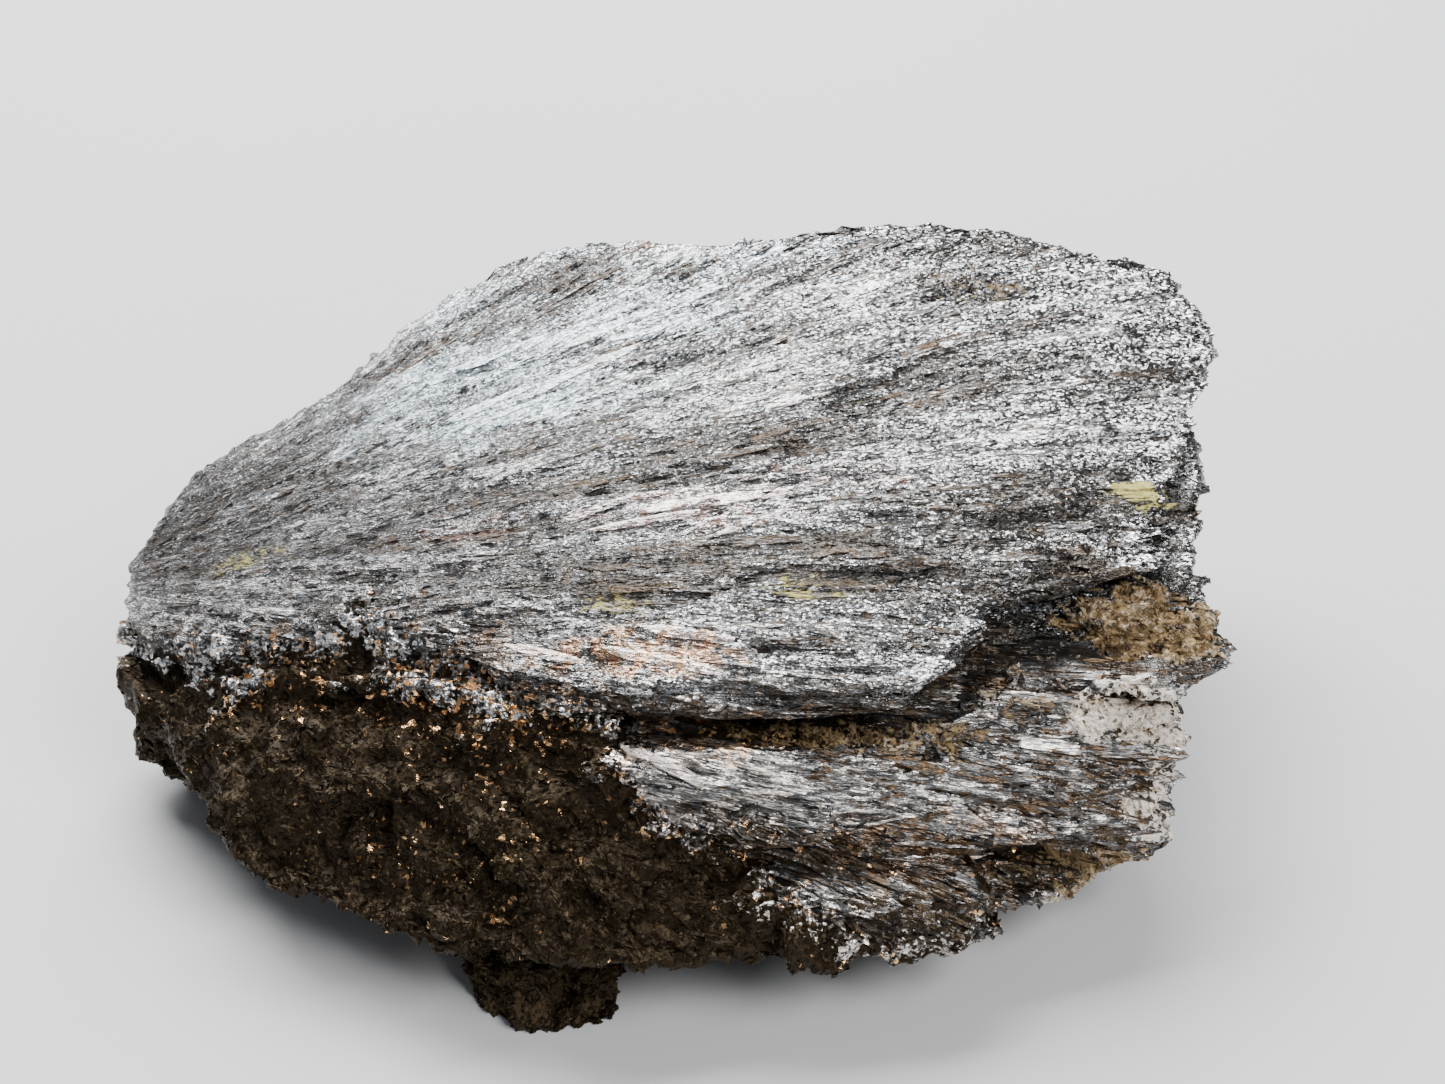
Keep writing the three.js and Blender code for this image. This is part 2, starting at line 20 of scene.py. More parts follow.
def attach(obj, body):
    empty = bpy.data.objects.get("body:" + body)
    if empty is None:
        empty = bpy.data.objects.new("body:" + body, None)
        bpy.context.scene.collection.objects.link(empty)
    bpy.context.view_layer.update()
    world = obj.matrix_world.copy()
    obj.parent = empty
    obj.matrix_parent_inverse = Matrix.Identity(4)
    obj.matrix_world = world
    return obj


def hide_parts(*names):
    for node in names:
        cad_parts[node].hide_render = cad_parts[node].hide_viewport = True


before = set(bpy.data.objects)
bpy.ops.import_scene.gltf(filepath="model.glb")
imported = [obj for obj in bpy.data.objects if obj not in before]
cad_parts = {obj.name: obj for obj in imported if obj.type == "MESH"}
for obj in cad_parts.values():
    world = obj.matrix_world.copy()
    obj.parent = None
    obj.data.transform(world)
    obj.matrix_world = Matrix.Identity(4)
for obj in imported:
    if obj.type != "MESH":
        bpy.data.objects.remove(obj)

LOG = logging.getLogger("stibnite")
MM = 0.001
NODE = "stibnite_mass"
BODY = "root"

Array = np.ndarray
Triple = tuple[float, float, float]
Pair = tuple[float, float]
Piece = bpy.types.Object
Material = bpy.types.Material
Socket = bpy.types.NodeSocket
UP = np.array([0.0, 0.0, 1.0])
TINY = 1e-9


# ---- Seeded noise on arrays ----


WORD = 0xFFFFFFFF
SEED_FACTOR = 2654435761
SEED_START = 97
MIXES = ((15, 2246822519), (13, 3266489917))
LAST_SHIFT = 16


def hashed(seed: int, *cells: Array) -> Array:
    """Gives each cell of a grid its own number.

    Args:
        seed: Picks one set of numbers.
        cells: Whole-number coordinates, one array per axis.

    Returns:
        Numbers from 0 to 1.
    """
    mask = np.uint64(WORD)
    value = np.full(cells[0].shape, (seed * SEED_FACTOR + SEED_START) & WORD, dtype=np.uint64)
    for cell in cells:
        value ^= cell.astype(np.int64).astype(np.uint64) & mask
        for shift, factor in MIXES:
            value = ((value ^ (value >> np.uint64(shift))) * np.uint64(factor)) & mask
    value ^= value >> np.uint64(LAST_SHIFT)
    return value.astype(np.float64) / float(WORD)


def tossed(seed: int, names: Array) -> Array:
    """A number from -1 to 1 for each named cell."""
    return 2 * hashed(seed, *names.T) - 1


def soft_noise(points: Array, seed: int) -> Array:
    """Smooth noise with features about one unit across.

    Args:
        points: Rows of three coordinates.
        seed: Picks the noise.

    Returns:
        Values from -1 to 1.
    """
    base = np.floor(points)
    part = points - base
    part = part * part * (3 - 2 * part)
    total = np.zeros(len(points))
    for corner in np.ndindex(2, 2, 2):
        share = np.prod(np.where(corner, part, 1 - part), axis=1)
        total += share * hashed(seed, *(base + corner).T)
    return 2 * total - 1


def cells(points: Array, seed: int) -> tuple[Array, Array]:
    """Finds the nearest of a scatter of cell middles, one to each unit cube.

    Args:
        points: Rows of three coordinates.
        seed: Picks the scatter.

    Returns:
        The whole-number name of each point's cell, and the point's offset from its middle.
    """
    base = np.floor(points)
    best = np.full(len(points), np.inf)
    names = base.copy()
    offsets = np.zeros_like(points)
    for step in np.ndindex(3, 3, 3):
        name = base + step - 1
        middle = name + np.stack([hashed(seed + k, *name.T) for k in range(3)], axis=1)
        offset = points - middle
        distance = (offset**2).sum(axis=1)
        nearer = distance < best
        best[nearer] = distance[nearer]
        names[nearer] = name[nearer]
        offsets[nearer] = offset[nearer]
    return names, offsets


def ramp(value: Array, start: float, end: float) -> Array:
    """A smooth step from 0 at start to 1 at end."""
    share = np.clip((value - start) / (end - start), 0, 1)
    return share * share * (3 - 2 * share)


def unit(vectors: Array) -> Array:
    """Vectors scaled to a length of 1."""
    return vectors / np.maximum(np.linalg.norm(vectors, axis=1, keepdims=True), TINY)


def flattened(vectors: Array, axes: Array) -> Array:
    """The part of each vector that is square to its own axis, scaled to a length of 1."""
    return unit(vectors - axes * (vectors * axes).sum(axis=1, keepdims=True))


@dataclass(frozen=True)
class Ripple:
    """Soft noise of one height and size. A size of three numbers is stretched along each axis."""

    height: float
    size: float | Triple
    seed: int

    def at(self, points: Array) -> Array:
        """Its height at each point."""
        return self.height * soft_noise(points / np.array(self.size), self.seed)


def rippled(ripples: tuple[Ripple, ...], points: Array) -> Array:
    """The sum of some ripples at each point."""
    return sum(ripple.at(points) for ripple in ripples)


# ---- The fan that all blades follow ----


@dataclass(frozen=True)
class Fan:
    """The leaning axis that the blades fan out from, in millimetres."""

    x: float = -57.9
    y: float = 2.2
    z: float = 14.0
    lean: float = 1.43
    reach: float = 75.0

    def rays(self, points: Array) -> Array:
        """Level vectors from the axis to the points, in millimetres."""
        root_y = self.y - self.lean * (points[:, 2] - self.z)
        return np.stack([points[:, 0] - self.x, points[:, 1] - root_y, 0 * points[:, 2]], axis=1)

    def ways(self, points: Array, normals: Array) -> Array:
        """The way the blades run, flattened onto the skin with these outward normals."""
        return flattened(self.rays(points), normals)

    def measure(self, points: Array) -> Array:
        """Measures points in the fan's own directions.

        Args:
            points: Rows of x, y and z, in millimetres.

        Returns:
            Rows of how far along, across and up the fan each point is, in millimetres.
        """
        rays = self.rays(points)
        along = np.hypot(rays[:, 0], rays[:, 1])
        across = np.arctan2(rays[:, 1], rays[:, 0]) * self.reach
        return np.stack([along, across, points[:, 2]], axis=1)


FAN = Fan()


# ---- Places on the mass, in millimetres ----


@dataclass(frozen=True)
class Patch:
    """A soft-edged spot of crust or tint on the mass. fade is where it starts and is whole, in radii."""

    middle: Triple
    radii: Triple
    strength: float = 1.0
    fade: Pair = (1.0, 0.45)

    def cover(self, points: Array, wander: Array) -> Array:
        """How much of the patch each point has, from 0 to its strength, with its edge moved by wander."""
        share = np.linalg.norm((points - np.array(self.middle)) / np.array(self.radii), axis=1)
        return self.strength * ramp(share + wander, *self.fade)


@dataclass(frozen=True)
class Places:
    """Where the mass changes: its hackly corner, crusts, tints, dark lenses and pits.

    shoulder holds x, y and z along the edge between the parting on top and the hackly front. A pair of
    numbers says where something starts and where it is whole: hackly and browned are depths below the
    shoulder, the sleek ones lead rightwards, forwards and down, and the last ones pick a cover's ground.
    """

    shoulder: tuple[Triple, ...] = (
        (-44.3, -5.4, 14.6),
        (-37.3, -8.8, 16.5),
        (-29.3, -9.4, 19.3),
        (-20.9, -12.2, 21.0),
        (-12.9, -16.4, 22.0),
        (-5.7, -19.8, 21.0),
        (-1.0, -20.8, 16.5),
        (11.0, -21.0, 10.2),
        (24.0, -21.0, 7.0),
        (45.0, -15.0, 5.0),
    )
    ochre: tuple[Patch, ...] = (
        Patch((34.5, -10.5, 19.6), (8.0, 4.4, 3.4)),
        Patch((30.0, -23.0, 6.4), (6.5, 4.0, 2.6), 0.85),
        Patch((-9.0, -30.0, 2.0), (9.0, 6.0, 3.6), 0.6),
        Patch((23.5, 24.0, 30.0), (8.0, 2.6, 3.0), 0.5),
        Patch((-6.0, -27.5, 11.0), (9.0, 6.0, 5.0), 0.3),
        Patch((13.0, -21.0, 18.0), (11.0, 2.4, 2.0), 0.75),
        Patch((24.0, -17.0, 18.0), (6.0, 3.0, 2.0), 0.45),
    )
    # Dark brown ground in the recess, under the lips and ledges and under the spike: partly brown ground,
    # partly painted shade.
    brown_in_shade: tuple[Patch, ...] = (
        Patch((7.0, -20.5, 18.0), (12.5, 2.5, 1.6)),
        Patch((21.5, -13.4, 19.6), (4.6, 2.6, 2.8), 0.9),
        Patch((25.5, -23.5, 7.8), (5.0, 3.0, 2.4), 0.95),
        Patch((12.0, -30.2, 8.4), (12.0, 2.8, 3.2), 0.9),
        Patch((4.0, -27.0, 15.4), (5.5, 2.2, 2.6), 0.85),
        Patch((10.0, -27.3, 12.2), (6.5, 1.7, 1.3), 0.85),
        Patch((39.0, -12.0, 14.0), (4.5, 4.5, 3.4), 0.8),
        Patch((-4.0, -20.0, 20.6), (6.0, 1.6, 1.4), 0.7),
    )
    cream: tuple[Patch, ...] = (
        Patch((31.5, -17.6, 17.0), (5.0, 3.2, 2.6)),
        Patch((34.6, -17.4, 14.4), (3.0, 3.4, 4.2)),
        Patch((34.2, -20.4, 11.6), (3.2, 3.0, 3.6), 0.85),
    )
    # Bluish tint on the top: painted reflection of bright light.
    blue: tuple[Patch, ...] = (
        Patch((-16.0, 12.0, 27.0), (15.0, 10.0, 7.0), 0.9),
        Patch((-4.0, 20.0, 29.6), (12.0, 8.0, 5.0), 0.7),
        Patch((-1.0, 29.5, 30.6), (19.0, 4.5, 3.4), 0.75),
        Patch((-19.0, 23.0, 28.4), (9.0, 5.0, 3.4), 0.6),
    )
    # Whitened blades: partly their pale tint, partly painted highlight.
    white: tuple[Patch, ...] = (
        Patch((0.6, -4.4, 26.2), (9.5, 2.6, 3.0), 0.6),
        Patch((-1.4, -18.0, 22.8), (6.5, 2.0, 2.4), 0.7),
        Patch((-17.0, -4.4, 24.6), (7.0, 1.8, 3.0), 0.5),
        Patch((12.0, -0.4, 26.6), (8.0, 1.6, 2.0), 0.5),
        Patch((-2.0, 30.2, 31.0), (9.0, 2.4, 2.4), 0.6),
    )
    yellow: tuple[Patch, ...] = (
        Patch((35.7, 0.1, 24.5), (2.4, 1.7, 2.0), 0.9),
        Patch((8.7, -12.0, 24.2), (3.0, 1.4, 1.4), 0.5),
        Patch((-4.8, -13.5, 23.9), (2.8, 1.4, 1.4), 0.5),
        Patch((-33.0, -3.0, 20.0), (5.0, 1.6, 2.0), 0.35),
    )
    fire: tuple[Patch, ...] = (
        Patch((-14.0, -17.5, 18.0), (13.0, 7.0, 5.5), 0.8),
        Patch((3.0, -21.5, 18.0), (9.0, 3.0, 2.4), 0.9),
        Patch((-3.0, -17.2, 22.4), (9.0, 3.0, 2.2), 1.2),
        Patch((-30.0, -12.0, 15.0), (9.0, 4.5, 5.0), 0.5),
        Patch((-10.0, -25.0, 9.0), (16.0, 7.0, 7.0), 0.5),
        Patch((16.0, -24.0, 11.0), (12.0, 4.0, 4.0), 0.4),
    )
    dark: tuple[Patch, ...] = (
        Patch((29.3, -7.6, 23.4), (4.4, 1.9, 2.6)),
        Patch((12.0, -7.6, 25.0), (4.6, 1.6, 2.6), 0.9),
        Patch((-4.0, -12.0, 24.6), (3.4, 1.4, 2.6), 0.9),
        Patch((7.0, 2.4, 27.0), (4.6, 1.7, 2.6), 0.8),
    )
    pits: tuple[Patch, ...] = (
        Patch((29.1, -7.2, 23.8), (3.4, 1.3, 2.4), 1.1),
        Patch((-20.0, 0.0, 24.0), (4.0, 0.9, 2.4), 0.8),
        Patch((14.0, 8.5, 27.5), (4.4, 0.9, 2.4), 0.6),
        Patch((10.6, -6.6, 25.4), (3.6, 0.8, 2.4), 0.8),
        Patch((-26.0, 3.6, 23.5), (3.0, 0.7, 2.4), 0.7),
        Patch((21.0, 2.2, 26.0), (4.2, 0.7, 2.4), 0.6),
    )
    edge_ripples: tuple[Ripple, ...] = (Ripple(0.34, 1.9, 14), Ripple(0.2, 0.7, 15))
    shoulder_ripples: tuple[Ripple, ...] = (Ripple(1.5, 4.1, 11), Ripple(1.1, 1.3, 12))
    shoulder_rise: float = 0.4
    shoulder_width: float = 6.5
    hackly: Pair = (-1.0, 1.4)
    browned: Pair = (0.6, 5.5)
    # How brown the patches in shade make the ground: partly painted shade.
    shade_browning: float = 0.6
    sleek_right: Pair = (-9.0, -2.0)
    sleek_front: Pair = (11.0, 15.0)
    sleek_down: Pair = (-22.0, -19.0)
    streaks: tuple[Ripple, ...] = (Ripple(0.35, (5.0, 0.9, 0.9), 91), Ripple(0.6, (17.0, 3.2, 3.2), 92))
    even_end: Pair = (-38.0, -12.0)
    dull_end: Pair = (33.0, 42.0)
    dull_loss: float = 0.15
    dark_loss: float = 2.0
    lens_cells: tuple[Triple, ...] = ((6.0, 2.4, 2.4), (3.2, 1.2, 1.4))
    lens_radii: Pair = (0.32, 0.22)
    lens_fade: Pair = (1.1, 0.4)
    lens_share: float = 0.16
    seam_cells: tuple[Triple, ...] = ((14.0, 6.0, 2.6), (8.0, 4.0, 1.3))
    seam_radii: Pair = (0.6, 0.18)
    seam_fade: Pair = (1.0, 0.3)
    seam_share: float = 0.75
    seam_wave: Ripple = Ripple(0.5, 3.5, 231)
    seam_slope: float = 0.16
    top_slope: Pair = (0.25, 0.7)
    top_level: Pair = (14.0, 18.0)
    front_start: Pair = (6.0, 12.0)
    front_level: Pair = (2.0, 6.0)
    ends_facing: Pair = (0.55, 0.8)

    def cover_of(self, patches: tuple[Patch, ...], points: Array) -> Array:
        """The strongest cover of some patches at each point."""
        wander = rippled(self.edge_ripples, points)
        return np.max([patch.cover(points, wander) for patch in patches], axis=0)

    def crust(self, points: Array) -> Array:
        """How crusted each point is, with ochre or with cream, from 0 to 1."""
        return np.maximum(self.cover_of(self.ochre, points), self.cover_of(self.cream, points))

    def below_shoulder(self, points: Array) -> Array:
        """Measures how far points of the front lie below the shoulder line.

        Args:
            points: Places on the skin, in millimetres.

        Returns:
            Millimetres, and -1 behind the shoulder.
        """
        xs, ys, zs = np.array(self.shoulder).T
        ahead = np.interp(points[:, 0], xs, ys) + self.shoulder_width - points[:, 1]
        below = np.interp(points[:, 0], xs, zs) + self.shoulder_rise - points[:, 2]
        below += rippled(self.shoulder_ripples, points)
        return np.where(ahead > 0, np.minimum(below, 2 * ahead - 1), -1.0)

    def hackle(self, points: Array) -> Array:
        """How hackly the skin is, from 0 on the partings to 1 on the broken front corner."""
        return ramp(self.below_shoulder(points), *self.hackly)

    def brown(self, points: Array) -> Array:
        """How brown the broken front corner is, from 0 at the shoulder to 1 low down."""
        return ramp(self.below_shoulder(points), *self.browned)

    def sleek(self, points: Array) -> Array:
        """How long and smooth the blades are, from 0 to 1 on the ledges of the front."""
        x, y, z = points.T
        return ramp(x, *self.sleek_right) * ramp(-y, *self.sleek_front) * ramp(-z, *self.sleek_down)

    def sheen(self, points: Array) -> Array:
        """Gives the brightness of the blades around each point, in streaks along the fan.

        Args:
            points: Places on the skin, in millimetres.

        Returns:
            About 0 to 1, and less in the dark lenses.
        """
        spread = 0.5 + 0.5 * ramp(points[:, 0], *self.even_end)
        level = 0.5 + spread * rippled(self.streaks, FAN.measure(points))
        level = level - self.dull_loss * ramp(-points[:, 0], *self.dull_end)
        return level - self.dark_loss * self.cover_of(self.dark, points)

    def lenses(self, points: Array) -> Array:
        """Gives the depth of the small lens-shaped pits between the blades.

        Args:
            points: Places on the skin, in millimetres.

        Returns:
            From 0 outside the pits to 1 in the deepest.
        """
        fan = FAN.measure(points)
        total = np.zeros(len(points))
        for grid, size in enumerate(self.lens_cells):
            names, offsets = cells(fan / np.array(size), 200 + 10 * grid)
            rank = hashed(210 + grid, *names.T) - (1 - self.lens_share)
            scale = 0.55 + 0.6 * hashed(220 + grid, *names.T)
            spread = np.hypot(*(offsets[:, :2] / self.lens_radii).T) / scale
            depth = 0.3 + 0.7 * rank / self.lens_share
            total = np.maximum(total, (rank > 0) * ramp(spread, *self.lens_fade) * depth)
        return total

    def seams(self, points: Array) -> Array:
        """Gives the depth of the long level seams of the front and back.

        Args:
            points: Places on the skin, in millimetres.

        Returns:
            From 0 outside the seams to 1 in the deepest.
        """
        fan = FAN.measure(points)
        fan[:, 2] += self.seam_wave.at(points) + self.seam_slope * fan[:, 0]
        total = np.zeros(len(points))
        for grid, size in enumerate(self.seam_cells):
            names, offsets = cells(fan / np.array(size), 240 + 10 * grid)
            own = hashed(250 + grid, *names.T)
            spread = np.hypot(*(offsets[:, ::2] / self.seam_radii).T)
            total = np.maximum(total, (own > 1 - self.seam_share) * ramp(spread, *self.seam_fade) * own)
        return total


PLACES = Places()


# ---- Meshes from arrays ----


@dataclass
class Skin:
    """Triangles of the mass's fine skin, in millimetres, to scatter small pieces on."""

    points: Array
    normals: Array
    triangles: Array
    hollow: Array

    def __post_init__(self) -> None:
        """Builds the search tree that drop() uses, and each triangle's smoothed normal and hollowness."""
        self.tree = BVHTree.FromPolygons(self.points.tolist(), self.triangles.tolist())
        self.facing = unit(self.normals[self.triangles].sum(axis=1))
        self.depths = self.hollow[self.triangles].mean(axis=1)

    def drop(self, places: Array) -> tuple[Array, Array, Array]:
        """Moves places to the nearest spots of the skin.

        Args:
            places: Rows of three coordinates, in millimetres.

        Returns:
            The spots, the outward normals there, and how hollow the skin is there.
        """
        found = [self.tree.find_nearest(place) for place in places.tolist()]
        spots = np.array([spot for spot, _, _, _ in found])
        nearest = [index for _, _, index, _ in found]
        return spots, self.facing[nearest], self.depths[nearest]

    def middles(self) -> Array:
        """The middle of each triangle."""
        return self.points[self.triangles].mean(axis=1)

    def areas(self) -> Array:
        """The area of each triangle."""
        a, b, c = np.moveaxis(self.points[self.triangles], 1, 0)
        return 0.5 * np.linalg.norm(np.cross(b - a, c - a), axis=1)

    def scatter(self, density: Array, count: int, rng: np.random.Generator) -> tuple[Array, Array]:
        """Picks places on the skin.

        Args:
            density: How thickly the places lie, one value to each triangle.
            count: How many places to pick.
            rng: The seeded source of chance.

        Returns:
            The places and the outward normals there.
        """
        weight = density * self.areas()
        chosen = rng.choice(len(weight), size=count, p=weight / weight.sum())
        u, v = rng.random((2, count, 1))
        over = (u + v) > 1
        u, v = np.where(over, 1 - u, u), np.where(over, 1 - v, v)
        a, b, c = np.moveaxis(self.points[self.triangles[chosen]], 1, 0)
        return a + u * (b - a) + v * (c - a), self.facing[chosen]


def rows_of(source: bpy.types.bpy_prop_collection, key: str, width: int, kind: type) -> Array:
    """Reads one property of a mesh's corners, edges or faces.

    Args:
        source: The corners, edges or face corners.
        key: The property's name.
        width: How many numbers each of them has.
        kind: The numbers' type in the mesh.

    Returns:
        One row to each of them.
    """
    numbers = np.empty(len(source) * width, dtype=kind)
    source.foreach_get(key, numbers)
    return numbers.reshape(-1, width)


def vertex_normals(points: Array, faces: Array) -> Array:
    """Outward unit normals at the corners of a mesh of quads.

    Args:
        points: Corners.
        faces: Rows of four corner numbers.

    Returns:
        One unit vector to each corner.
    """
    a, b, c, d = (points[faces[:, k]] for k in range(4))
    outward = np.cross(c - a, d - b)
    total = np.zeros_like(points)
    for axis in range(3):
        for k in range(4):
            total[:, axis] += np.bincount(faces[:, k], outward[:, axis], len(points))
    return unit(total)


def smoothed(points: Array, edges: Array, steps: int) -> Array:
    """Moves each corner towards its neighbours' middle, some times over.

    Args:
        points: Corners of the mesh.
        edges: Pairs of corner numbers.
        steps: How many times.

    Returns:
        The moved corners.
    """
    count = len(points)
    degree = np.bincount(edges.ravel(), minlength=count)[:, None]
    for _ in range(steps):
        total = np.zeros_like(points)
        for axis in range(3):
            total[:, axis] = np.bincount(edges[:, 0], points[edges[:, 1], axis], count)
            total[:, axis] += np.bincount(edges[:, 1], points[edges[:, 0], axis], count)
        points = 0.5 * points + 0.5 * total / np.maximum(degree, 1)
    return points


def rod_faces(rings: int, sides: int, count: int) -> Array:
    """Numbers the triangles of some closed rods, each a row of rings with a flat cap at both ends.

    Args:
        rings: How many rings a rod has.
        sides: How many corners a ring has.
        count: How many rods there are, with their corners one rod after another.

    Returns:
        Rows of three corner numbers, facing out.
    """
    faces = []
    for ring in range(rings - 1):
        for j in range(sides):
            a, d = ring * sides + j, ring * sides + (j + 1) % sides
            faces += [(a, d, d + sides), (a, d + sides, a + sides)]
    last = (rings - 1) * sides
    for j in range(1, sides - 1):
        faces += [(0, j + 1, j), (last, last + j, last + j + 1)]
    starts = rings * sides * np.arange(count)
    return (np.array(faces)[None] + starts[:, None, None]).reshape(-1, 3)


def mesh_of(name: str, points: Array, faces: Array, smooth: bool) -> Piece:
    """Makes an object from arrays.

    Args:
        name: The object's name.
        points: Corners, in millimetres.
        faces: Corner numbers, three or four to a row.
        smooth: Whether the faces are shaded smooth.

    Returns:
        The new object, linked to the scene.
    """
    mesh = bpy.data.meshes.new(name)
    count, sides = faces.shape
    mesh.vertices.add(len(points))
    mesh.vertices.foreach_set("co", (points * MM).astype(np.float32).ravel())
    mesh.loops.add(count * sides)
    mesh.loops.foreach_set("vertex_index", faces.astype(np.int32).ravel())
    mesh.polygons.add(count)
    mesh.polygons.foreach_set("loop_start", np.arange(0, count * sides, sides, dtype=np.int32))
    mesh.polygons.foreach_set("use_smooth", np.full(count, smooth))
    mesh.update(calc_edges=True)
    mesh.validate()
    piece = bpy.data.objects.new(name, mesh)
    bpy.context.scene.collection.objects.link(piece)
    return piece


def dress(piece: Piece, finish: Material) -> None:
    """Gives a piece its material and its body.

    Args:
        piece: The object.
        finish: Its material.
    """
    piece.data.materials.append(finish)
    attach(piece, BODY)


def paint(
    piece: Piece,
    points: Array,
    tone: Array,
    chance: Array,
    hollow: Array,
    pale: Array | float = 0.0,
    warm: Array | float = 0.0,
    sleek: float = 0.0,
) -> None:
    """Writes the layers that the stibnite's finish reads.

    Args:
        piece: The object to write on.
        points: The place that each corner takes its colours from, in millimetres.
        tone: How bright each corner's blade is, about 0 to 1, with painted shade on steep and hidden faces.
        chance: A number from 0 to 1 that picks how each corner's blade differs.
        hollow: How hollow the skin is around each corner: 1 in a crack, 0.5 on the level, 0 on an edge. The
            finish paints shade in cracks and highlight on edges by it.
        pale: How white each corner's blade is, on top of its place's own white: partly pale blade, partly
            painted highlight.
        warm: How cream each corner's blade is, on top of its place's own cream.
        sleek: How much smoother the blades are than their places.
    """
    kinds = (PLACES.brown_in_shade, PLACES.ochre, PLACES.cream, PLACES.blue, PLACES.white, PLACES.yellow, PLACES.fire)
    brown_in_shade, ochre, cream, blue, white, yellow, fire = (PLACES.cover_of(kind, points) for kind in kinds)
    # The patches in recesses and under lips make the ground hackly and brown: partly brown ground, partly
    # painted shade.
    hackle = np.maximum(PLACES.hackle(points), brown_in_shade)
    brown = np.maximum(PLACES.brown(points), PLACES.shade_browning * brown_in_shade)
    layers_of = {
        "grounds": (hackle, brown, ochre, hollow),
        "tints": (blue, np.maximum(white, pale), yellow, np.maximum(cream, warm)),
        "blades": (tone, chance, PLACES.sleek(points) + sleek, fire),
    }
    for name, layers in layers_of.items():
        layer = piece.data.attributes.new(name, "FLOAT_COLOR", "POINT")
        layer.data.foreach_set("color", np.stack(layers, axis=1).astype(np.float32).ravel())


# ---- Shader sockets and nodes ----


class Value:
    """A number socket of a node tree that takes part in Python maths."""

    def __init__(self, shader: "Shader", socket: Socket) -> None:
        """Wraps one output socket.

        Args:
            shader: The tree that the socket is in.
            socket: The output that gives the number.
        """
        self.shader = shader
        self.socket = socket

    def _math(self, operation: str, *operands: "Value | float") -> "Value":
        """Adds a Math node that works on the operands, in their order."""
        return self.shader.value("ShaderNodeMath", {"operation": operation}, dict(enumerate(operands)))

    def __add__(self, other: "Value | float") -> "Value":
        """self + other."""
        return self._math("ADD", self, other)

    __radd__ = __add__

    def __sub__(self, other: "Value | float") -> "Value":
        """self - other."""
        return self._math("SUBTRACT", self, other)

    def __rsub__(self, other: "Value | float") -> "Value":
        """other - self."""
        return self._math("SUBTRACT", other, self)

    def __mul__(self, other: "Value | float") -> "Value":
        """self * other."""
        return self._math("MULTIPLY", self, other)

    __rmul__ = __mul__

    def __pow__(self, other: "Value | float") -> "Value":
        """self ** other."""
        return self._math("POWER", self, other)

    def __gt__(self, other: "Value | float") -> "Value":
        """1 where self is greater than other, else 0."""
        return self._math("GREATER_THAN", self, other)

    def least(self, other: "Value | float") -> "Value":
        """The smaller of self and other."""
        return self._math("MINIMUM", self, other)

    def most(self, other: "Value | float") -> "Value":
        """The larger of self and other."""
        return self._math("MAXIMUM", self, other)

    def angle(self, other: "Value") -> "Value":
        """The angle of the vector (other, self)."""
        return self._math("ARCTAN2", self, other)

    def ramp(self, start: float, end: float) -> "Value":
        """A smooth step from 0 at start to 1 at end."""
        settings = {"interpolation_type": "SMOOTHSTEP"}
        return self.shader.value("ShaderNodeMapRange", settings, {0: self, 1: start, 2: end})


@dataclass(frozen=True)
class Tint:
    """A colour, as linear red, green and blue."""

    red: float
    green: float
    blue: float

    def rgba(self) -> tuple[float, float, float, float]:
        """The colour with full alpha."""
        return (self.red, self.green, self.blue, 1.0)


